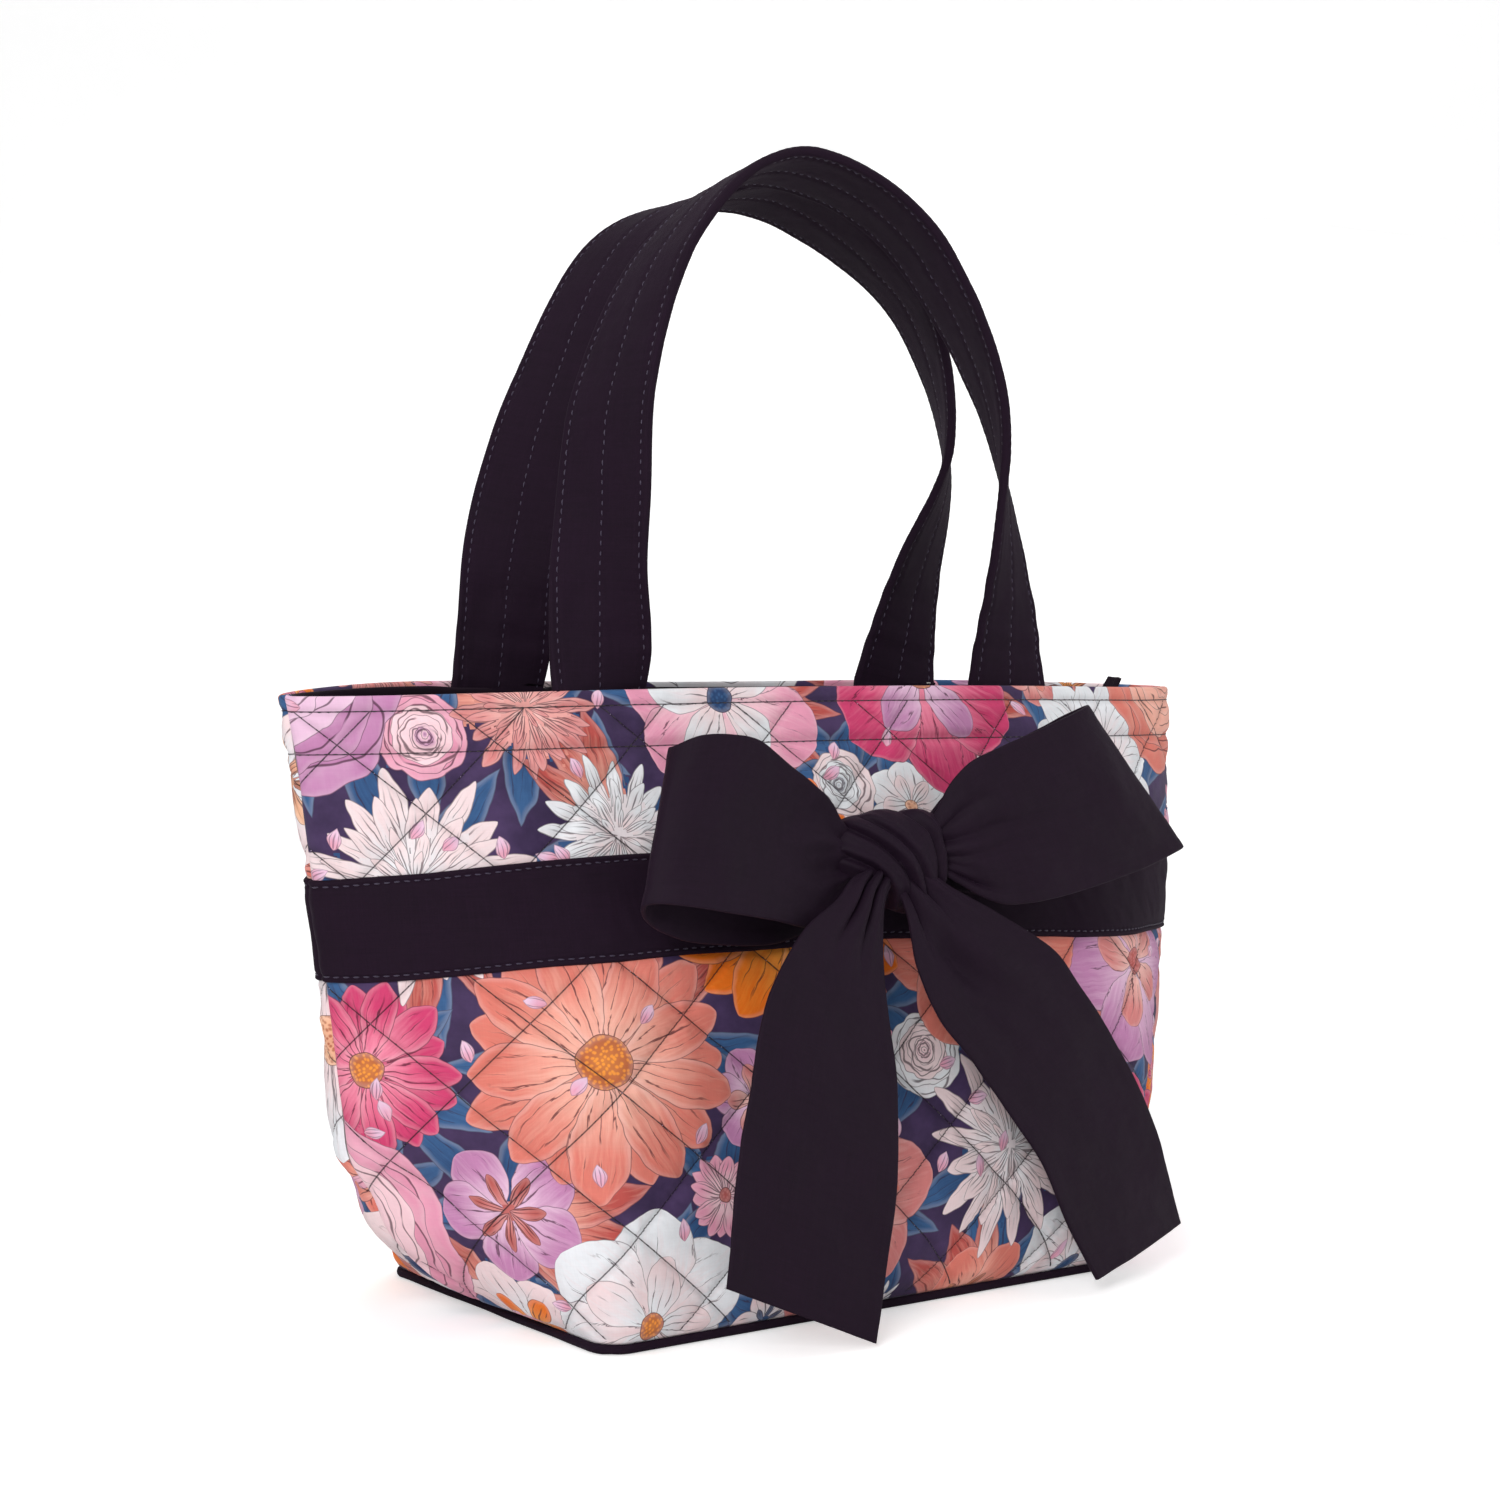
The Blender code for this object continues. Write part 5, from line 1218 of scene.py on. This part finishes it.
def strap(word, side, stations, rise):
    P0, W0, N0, arc0 = strap_path(stations, side, rise)
    total = arc0[-1]
    cnt = 620
    ss = np.linspace(0, total, cnt)
    pick = lambda A, s: np.stack([np.interp(s, arc0, A[:, k]) for k in range(3)], -1)

    def frames(s):
        p, w, n = pick(P0, s), unit(pick(W0, s)), pick(N0, s)
        t = unit(pick(P0, np.minimum(s + 5e-4, total)) - pick(P0, np.maximum(s - 5e-4, 0)))
        w = unit(w - t * (w * t).sum(-1, keepdims=True))
        return p, t, w, np.cross(w, t)

    def half(s, xc, face):
        """Half thickness in mm with stitched channels; s and xc in mm."""
        a = np.abs(xc)
        base = 1.75 - 0.55 * gauss(a - 16.3, 1.0) - 0.5 * gauss(xc, 1.0)
        base = base + 0.10 * (gauss(a - 16.3, 2.2) + gauss(xc, 2.2)) * np.sin(s * 1.85 + face * 2 + 2 * vnoise(s / 7, xc / 6, 100))
        base = base + 0.22 * fnoise(s / 15, xc / 9, 101 + face) * (1 - 0.5 * gauss(a - 16.3, 2))
        rnd = np.sqrt(np.clip(1 - ((np.maximum(a, 18.1) - 18.1) / 1.4) ** 2, 0, 1))
        return base * rnd

    def sway(s):
        """Slow waves and the small creases just above the sewn ends."""
        near = np.minimum(s, total * 1e3 - s)
        v = 0.45 * fnoise(s / 60, side * 3.0, 103)
        c = gauss(near - 34, 7) * 0.9 * np.sin(s / 2.6) + gauss(near - 52, 9) * 0.6 * np.sin(s / 3.4)
        return (v + 0.45 * c) * sstep(near, 20, 34)

    def place(s, C):
        """Middle surface of the cloth strap; s in metres, C across it in mm."""
        p, t, w, n = frames(s)
        sm = s * 1e3
        if C.ndim > 1:
            p, t, w, n, sm = p[:, None], t[:, None], w[:, None], n[:, None], sm[:, None]
        k = gauss(sm - 50, 27)
        wide = (1 + 0.006 * vnoise(sm / 21, 1.0, 104)) * (1 - 0.13 * k)
        cr = 0.25 * gauss(np.minimum(sm, total * 1e3 - sm) - 40, 16) * np.sin(C / 3.1 + sm / 9)
        lift = sway(sm) + cr - 3.4 * k * (C / 19.5) ** 2
        return p + w * (C * wide * 1e-3)[..., None] + n * (lift * 1e-3)[..., None], t, n

    xc = np.concatenate([-19.5 + np.array([0, 0.12, 0.4, 0.9, 1.4]), np.linspace(-17.6, 17.6, 27), 19.5 - np.array([1.4, 0.9, 0.4, 0.12, 0])])
    S, C = np.meshgrid(ss * 1e3, xc, indexing="ij")
    mid, _, n = place(ss, C)
    top = mid + n * (half(S, C, 0) * 1e-3)[..., None]
    bot = mid - n * (half(S, C, 1) * 1e-3)[..., None]
    ring = np.concatenate([top, bot[:, ::-1][:, 1:-1]], 1)
    m = ring.shape[1]
    uv = np.concatenate([np.stack([S, C], -1), np.stack([S, 60 - C[:, ::-1]], -1)[:, 1:-1]], 1)
    f = grid_faces(cnt, m, wrap=True).tolist()
    f += [list(range(m)), [(cnt - 1) * m + i for i in range(m - 1, -1, -1)]]
    ob = make(f"{word}_strap_handle", ring, f, m_plum, uv)
    fix_out(ob)
    sq = np.arange(0.019, total - 0.019, 0.0034)
    pts, dirs, nr = [], [], []
    for row in (-16.3, 0.0, 16.3):
        for face, sg in ((0, 1), (1, -1)):
            s1 = sq + 0.0008 * ((row > 1) - (row < -1)) + 0.00015 * vnoise(sq * 300, row, 105)
            xr = row + 0.15 * vnoise(s1 * 1e3 / 9, row + face, 106)
            q, tt_, nn = place(s1, xr)
            q2, _, _ = place(s1 + 0.0006, xr)
            pts.append(q + nn * (sg * half(s1 * 1e3, xr, face) * 1e-3)[:, None])
            dirs.append(q2 - q)
            nr.append(nn * sg)
    st = stitch_set(f"{word}_handle_topstitch", np.concatenate(pts), np.concatenate(dirs), np.concatenate(nr), 0.0022, 0.00023, m_stitch)
    core_x = np.linspace(-17.2, 17.2, 9)
    S3, C3 = np.meshgrid(ss[::4] * 1e3, core_x, indexing="ij")
    mid3, _, n3 = place(ss[::4], C3)
    a3, b3 = mid3 + n3 * 0.0005, mid3 - n3 * 0.0005
    core = closed_sheet(f"{word}_handle_wadding", a3, b3, np.stack([S3, C3], -1), m_wadding)
    return ob, st, core


for word, side, stations, rise in (("front", -1, FRONT_STRAP, FRONT_RISE), ("back", 1, BACK_STRAP, BACK_RISE)):
    ob, st, core = strap(word, side, stations, rise)
    for o in (ob, st, core):
        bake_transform(o)
    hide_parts(f"{word}_handle")
    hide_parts(f"{word}_handle_core")


# ---------------------------------------------------------------- ribbon bow
def two_way(half):
    """Shares along a looped edge: first half of s to `half`, second to 1."""
    def f(s):
        return np.where(s < 0.5, s * 2 * half, half + (s - 0.5) * 2 * (1 - half))
    return f


def share_of(points, i):
    fine = spline_t(points, np.linspace(0, len(points) - 1, 60 * len(points)))
    d = np.concatenate([[0], np.cumsum(np.linalg.norm(np.diff(fine, axis=0), axis=1))])
    k = int(round(i * (60 * len(points) - 1) / (len(points) - 1)))
    return d[k] / d[-1]


LL_A = [(-5, -75, 161), (-14, -79, 167), (-20, -81, 171.5), (-26, -83, 178.1), (-37.6, -88, 184.7), (-49.2, -92, 191.2), (-63.5, -95, 199.8),
        (-75.3, -95.5, 202.2), (-85.5, -92, 202.0), (-91.2, -85.5, 198.5),
        (-87, -78.8, 198.0), (-72, -76.2, 197.5), (-52, -74.8, 189), (-30, -73.8, 176), (-12, -73.5, 165), (-4, -73, 161)]
LL_B = [(-5, -76, 152), (-14, -79.5, 149), (-23.3, -83, 142.5), (-36.8, -88, 136.8), (-57.3, -93, 140.8), (-77.4, -95.5, 144.6),
        (-91.8, -94, 147.3), (-100.9, -90, 148.2), (-103.6, -85.5, 146.6),
        (-97.5, -79.4, 141.0), (-88.8, -77.2, 136.6), (-74, -75.6, 132.6), (-44, -74.4, 130.5), (-24, -74, 137), (-12, -73.6, 147), (-4, -73, 151)]
RL_A = [(12, -76, 161), (17, -80, 168), (20, -82.5, 174), (23.5, -85, 182.4), (29.5, -88.5, 190.0), (40.1, -91.5, 195.2), (58.6, -93.5, 201.9),
        (74.0, -92.5, 206.8), (84.5, -88, 209.5),
        (82, -80.8, 206.5), (66, -77.2, 199), (46, -75.2, 190), (30, -74, 178), (18, -73.4, 166), (12, -73, 162)]
RL_B = [(12, -76, 153), (18.5, -81, 153.4), (27.3, -86, 148.1), (36.2, -90, 142.8), (47.3, -93, 140.3), (70.8, -95.5, 142.9), (106.5, -94.5, 150.2),
        (131.5, -89.5, 156.5),
        (121, -82.0, 149.6), (96, -79.0, 144.0), (66, -77.4, 141.2), (42, -75.6, 143), (28, -74.2, 147.5), (18, -73.5, 152), (12, -73, 153)]


def left_relief(s, t, w):
    near = 1 - sstep(s, 0.0, 0.17)
    v = near * (2.2 * gauss(t - 0.22, 0.09) - 2.0 * gauss(t - 0.40, 0.07) + 2.0 * gauss(t - 0.56, 0.08) - 1.8 * gauss(t - 0.72, 0.06))
    front = sstep(s, 0.03, 0.15) * (1 - sstep(s, 0.42, 0.5))
    v = v + front * (2.6 * np.sin(PI * np.clip(t, 0, 1)) + 1.2 * np.sin(PI * t) * np.sin(2.2 * PI * (s * 1.5 - t * 0.35)))
    v = v + front * 0.7 * fnoise(s * 9, t * 3, 111)
    v = v - 1.3 * gauss((t - 0.30) - (s - 0.1) * 0.9, 0.06) * sstep(s, 0.04, 0.1) * (1 - sstep(s, 0.16, 0.34))
    v = v + 0.9 * gauss((t - 0.62) + (s - 0.1) * 0.5, 0.07) * sstep(s, 0.04, 0.1) * (1 - sstep(s, 0.14, 0.30))
    return -v * 1.0 + 0.2 * fnoise(s * 30, t * 6, 112)


def right_relief(s, t, w):
    near = 1 - sstep(s, 0.0, 0.15)
    v = near * (2.0 * gauss(t - 0.18, 0.08) - 1.9 * gauss(t - 0.34, 0.06) + 2.2 * gauss(t - 0.5, 0.08) - 2.6 * gauss(t - 0.70, 0.06) + 1.5 * gauss(t - 0.86, 0.07))
    front = sstep(s, 0.03, 0.14) * (1 - sstep(s, 0.42, 0.5))
    v = v + front * (2.8 * np.sin(PI * np.clip(t, 0, 1)) + 0.8 * fnoise(s * 8, t * 3, 113))
    ray = sstep(s, 0.03, 0.08)
    v = v - 1.9 * gauss((t - 0.40) - (s - 0.05) * 0.25, 0.05) * ray * (1 - sstep(s, 0.18, 0.36))
    v = v - 1.5 * gauss((t - 0.60) + (s - 0.05) * 0.25, 0.05) * ray * (1 - sstep(s, 0.14, 0.30))
    v = v - 1.6 * gauss((t - 0.22) - (s - 0.05) * 0.1, 0.045) * ray * (1 - sstep(s, 0.12, 0.26))
    v = v - 2.8 * gauss(t - 0.84 - (s - 0.05) * 0.3, 0.05) * ray * (1 - sstep(s, 0.08, 0.2))
    return v + 0.2 * fnoise(s * 30, t * 6, 114)


LT_L = [(-8, -79, 152), (-15, -84, 153), (-22.3, -88, 151.5), (-30.8, -92, 146.0), (-48.8, -97.5, 137.0), (-62.5, -100.5, 121.0), (-68.5, -102, 108), (-73.6, -103.5, 88.6),
        (-80.9, -106, 63.8), (-86.9, -109, 26.0)]
LT_R = [(2, -79, 150), (-3, -86, 149), (-9.5, -91, 144.4), (-12.8, -94, 134.4), (-14.8, -97.5, 119.5), (-14.6, -101, 99.6), (-14.6, -104, 80.3), (-17.5, -107.5, 56.3),
        (-24.0, -111, 28), (-30.8, -113.8, 1.2)]
RT_L = [(0, -79, 150), (0.5, -85, 146.7), (1.0, -90, 138.5), (3.4, -93, 120.4), (10.5, -96.5, 102.7), (25.9, -98.5, 85.1), (50.4, -101, 53.0), (63.2, -102, 28.4), (77.8, -102.5, 5.6)]
RT_R = [(10, -79, 153), (14.5, -85, 152.2), (24.5, -88.5, 146.0), (40.9, -91.5, 137.3), (64.2, -93.5, 123.5), (76.7, -93.5, 109.5), (93.8, -92.5, 90.1), (115.4, -90.5, 58.6), (134.0, -87.5, 16.6)]


def ltail_relief(s, t, w):
    near = 1 - sstep(s, 0.05, 0.36)
    near2 = 1 - sstep(s, 0.10, 0.55)
    drift = t + 0.10 * s
    v = near * (-3.6 * gauss(drift - 0.40, 0.055) + 2.4 * gauss(drift - 0.54, 0.07) - 3.0 * gauss(drift - 0.70, 0.045) + 1.8 * gauss(drift - 0.82, 0.06)
                + 1.8 * gauss(drift - 0.24, 0.10))
    v = v + near2 * (1.2 * np.sin(PI * t)) + 1.0 * fnoise(s * 4, t * 1.6, 121) * sstep(s, 0.2, 0.5)
    v = v + 1.6 * sstep(s, 0.3, 1.0) * np.sin(PI * t) * np.sin(1.2 * PI * s)
    return v + 0.18 * fnoise(s * 16, t * 6, 122)


def rtail_relief(s, t, w):
    near = 1 - sstep(s, 0.04, 0.26)
    v = near * (-2.8 * gauss(t - 0.22, 0.05) + 2.2 * gauss(t - 0.36, 0.08) - 2.2 * gauss(t - 0.62 + s * 0.3, 0.06) + 1.6 * gauss(t - 0.80, 0.08))
    v = v - 4.2 * gauss((t - 0.36) - (s - 0.20) * 0.5, 0.10) * gauss(s - 0.24, 0.10)
    v = v + 2.2 * gauss((t - 0.58) - (s - 0.20) * 0.6, 0.12) * gauss(s - 0.26, 0.12)
    v = v - 1.4 * gauss((t - 0.25) - (s - 0.3) * 0.4, 0.07) * gauss(s - 0.36, 0.08)
    v = v + 0.9 * fnoise(s * 4, t * 1.8, 123) * sstep(s, 0.25, 0.5) + 1.5 * sstep(s, 0.3, 1.0) * np.sin(PI * t) * np.sin(1.1 * PI * s)
    return v + 0.18 * fnoise(s * 16, t * 6, 124)


ns, nt = ((210, 76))
ob, _ = ribbon_sheet("ribbon_loop_left", LL_A, LL_B, two_way(share_of(LL_A, 9)), two_way(share_of(LL_B, 8)), ns, nt, left_relief, 1.3, m_plum_ribbon)
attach(ob, "bag")
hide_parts("bow_loop_left")
ob, _ = ribbon_sheet("ribbon_loop_right", RL_A, RL_B, two_way(share_of(RL_A, 8)), two_way(share_of(RL_B, 7)), ns, nt,
                     lambda s, t, w: -right_relief(s, t, w), 1.3, m_plum_ribbon, uv_off=300)
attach(ob, "bag")
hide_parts("bow_loop_right")
ident = lambda s: s
ob, _ = ribbon_sheet("ribbon_tail_left", LT_L, LT_R, ident, ident, ns, nt, lambda s, t, w: ltail_relief(s, t, w), 1.3, m_plum_ribbon, uv_off=600)
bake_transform(ob)
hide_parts("bow_tail_left")
ob, _ = ribbon_sheet("ribbon_tail_right", RT_L, RT_R, ident, ident, ns, nt, lambda s, t, w: rtail_relief(s, t, w), 1.3, m_plum_ribbon, uv_off=900)
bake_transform(ob)
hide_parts("bow_tail_right")


def knot():
    nu, nv = ((200, 130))
    cx, cz = 3.0, 157.0
    outline = np.array([(-19, 170), (-8, 172.8), (8, 173.2), (23, 172), (26.4, 162), (25.4, 149.5), (20, 143), (13.5, 138.0), (4, 140.0),
                        (-7.2, 145.6), (-20.5, 152.5), (-22.5, 161)], float) - [cx, cz]
    oa = np.arctan2(outline[:, 1], outline[:, 0])
    order = np.argsort(oa)
    oa, orad = oa[order], np.hypot(*outline[order].T)
    th = np.linspace(0, 2 * PI, nu, endpoint=False)
    rad = np.interp(th, oa, orad, period=2 * PI)
    for _ in range(max(2, nu // 28)):
        rad = (np.roll(rad, 1) + rad * 2 + np.roll(rad, -1)) / 4
    ph = np.linspace(0.02, PI - 0.02, nv)
    TH, PH = np.meshgrid(th, ph, indexing="ij")
    RD = rad[:, None]
    rho = np.sin(PH) ** 0.86
    x, z = RD * rho * np.cos(TH), RD * rho * np.sin(TH)
    y = -11.6 * np.sign(np.cos(PH)) * np.abs(np.cos(PH)) ** 0.92
    y = y - 1.6 * np.clip(1 - rho, 0, 1)
    P = np.stack([x + cx, y - 76.4, z + cz], -1)
    N = unit(np.stack([np.sin(PH) * np.cos(TH) * 0.8, -np.cos(PH) * 1.6, np.sin(PH) * np.sin(TH) * 0.8], -1))
    out = np.zeros_like(x)
    creases = [([(-23, 14), (-13, 8), (-4, 1), (3, -8), (8, -19)], 2.3, 0.85, 1.7),
               ([(-14, 16), (-4, 9), (4, 1), (10, -9), (13, -18)], 1.4, 0.8, 1.1),
               ([(-23, 3), (-13, -2), (-6, -9), (-2, -17)], 2.0, 0.85, 1.2),
               ([(6, 17), (12, 9), (15, 0), (16, -12)], 1.9, 0.8, 1.4),
               ([(19, 14), (21, 6), (20, -4)], 0.9, 0.8, 0.6)]
    for line, deep, wide, step in creases:
        pts = spline_t([(a, b, 0) for a, b in line], np.linspace(0, len(line) - 1, 60))[:, :2]
        q = np.stack([x, z], -1)
        d2 = ((q[:, :, None] - pts[None, None]) ** 2).sum(-1)
        i = d2.argmin(-1)
        tan = unit(np.gradient(pts, axis=0))[i]
        rel = q - pts[i]
        sd = tan[..., 0] * rel[..., 1] - tan[..., 1] * rel[..., 0]
        dd = np.sqrt(d2.min(-1))
        face = sstep(-y, -1, 6)
        out += face * (-deep * np.exp(-(dd / wide) ** 2) + step * np.tanh(sd / 0.8) * np.exp(-dd / 4.0) + 0.4 * deep * np.exp(-((dd - 2.2) / 1.5) ** 2))
    out += 0.3 * fnoise(x / 7, z / 7, 131)
    P = P + N * out[..., None]
    uv = np.stack([x * 0.8 + z * 0.6 + 1200, z * 0.8 - x * 0.6], -1)
    f = grid_faces(nu, nv)
    wrapf = np.array([[(nu - 1) * nv + j, (nu - 1) * nv + j + 1, j + 1, j] for j in range(nv - 1)])
    k = nu * nv
    caps = []
    for j, s_ in ((0, 1), (nv - 1, -1)):
        mid = P[:, j].mean(0)
        P = P.reshape(-1, 3) if P.ndim == 3 else P
        caps.append((j, s_, mid))
        P = P.reshape(nu, nv, 3)
    verts = np.concatenate([P.reshape(-1, 3), [caps[0][2]], [caps[1][2]]])
    uv = np.concatenate([uv.reshape(-1, 2), [uv[:, 0].mean(0)], [uv[:, -1].mean(0)]])
    faces = np.concatenate([f, wrapf]).tolist()
    for n_, (j, s_, mid) in enumerate(caps):
        for i in range(nu):
            faces.append([i * nv + j, ((i + 1) % nu) * nv + j, k + n_])
    ob = make("ribbon_knot", verts * 1e-3, faces, m_plum_ribbon, uv)
    fix_out(ob)
    return ob


ob = knot()
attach(ob, "bag")
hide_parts("bow_knot")

# ---------------------------------------------------------------- studio
bpy.ops.mesh.primitive_plane_add(size=1)
floor = bpy.context.object
floor.name = "studio_floor"
me = floor.data
prof = [(-3.0, 0.0)] + [(1.2 + 1.2 * math.sin(a), 1.2 - 1.2 * math.cos(a)) for a in np.linspace(0, PI / 2, 14)] + [(2.4, 4.0)]
back = np.array([math.sin(math.radians(35.36)), math.cos(math.radians(35.36))])
sidev = np.array([back[1], -back[0]])
V, F = [], []
for w_ in (-4.0, 4.0):
    for d_, z_ in prof:
        xy = back * d_ + sidev * w_
        V.append((xy[0], xy[1], z_))
n_ = len(prof)
for i in range(n_ - 1):
    F.append((i, i + 1, n_ + i + 1, n_ + i))
me.clear_geometry()
me.from_pydata(V, [], F)
me.shade_smooth()
mf, g, bsdf = material("pale_paper")
co = g.new("ShaderNodeTexCoord").outputs["Object"]
g.put(bsdf.inputs["Base Color"], g.mix(g.noise(co, 3.0, 3.0), (0.86, 0.86, 0.86, 1), (0.89, 0.89, 0.89, 1)))
bsdf.inputs["Roughness"].default_value = 0.9
bsdf.inputs["Specular IOR Level"].default_value = 0.1
bsdf.inputs["Emission Color"].default_value = (1, 1, 1, 1)
g.put(bsdf.inputs["Emission Strength"], g.m("MULTIPLY", g.new("ShaderNodeLightPath").outputs["Is Camera Ray"], 0.42))
me.materials.append(mf)

world = bpy.data.worlds.new("studio")
bpy.context.scene.world = world
world.use_nodes = True
world.node_tree.nodes["Background"].inputs[0].default_value = (1.0, 1.0, 1.0, 1)
gw = Nodes(world.node_tree)
gw.put(world.node_tree.nodes["Background"].inputs[1], gw.ss(gw.new("ShaderNodeLightPath").outputs["Is Camera Ray"], 0.0, 1.0, 0.42, 1.0))


def area(name, pos, target, size, power):
    li = bpy.data.lights.new(name, "AREA")
    li.shape = "RECTANGLE"
    li.size, li.size_y = size
    li.energy = power
    o = bpy.data.objects.new(name, li)
    bpy.context.scene.collection.objects.link(o)
    o.location = pos
    d = Vector(target) - Vector(pos)
    o.rotation_euler = d.to_track_quat("-Z", "Y").to_euler()
    return o


area("key_softbox", (-1.5, -1.3, 1.1), (0, 0, 0.15), (0.8, 0.8), 27)
area("fill_softbox", (1.4, -1.4, 0.7), (0, 0, 0.15), (1.0, 1.0), 6)
area("top_softbox", (0.0, 0.1, 1.8), (0, 0, 0.1), (1.2, 1.0), 7)

area("rear_softbox", (1.5, 1.7, 1.0), (0, 0, 0.15), (1.2, 1.0), 9)

cam = bpy.data.cameras.new("camera")
cam.lens = 65.6
cam.sensor_width = 36.0
cam.clip_start = 0.02
co = bpy.data.objects.new("camera", cam)
co.location = (-0.5807, -0.8172, 0.2296)
co.rotation_euler = (math.radians(90 - 2.11), 0, math.radians(-35.36))
bpy.context.scene.collection.objects.link(co)
bpy.context.scene.camera = co
bpy.context.scene.view_settings.view_transform = "Standard"
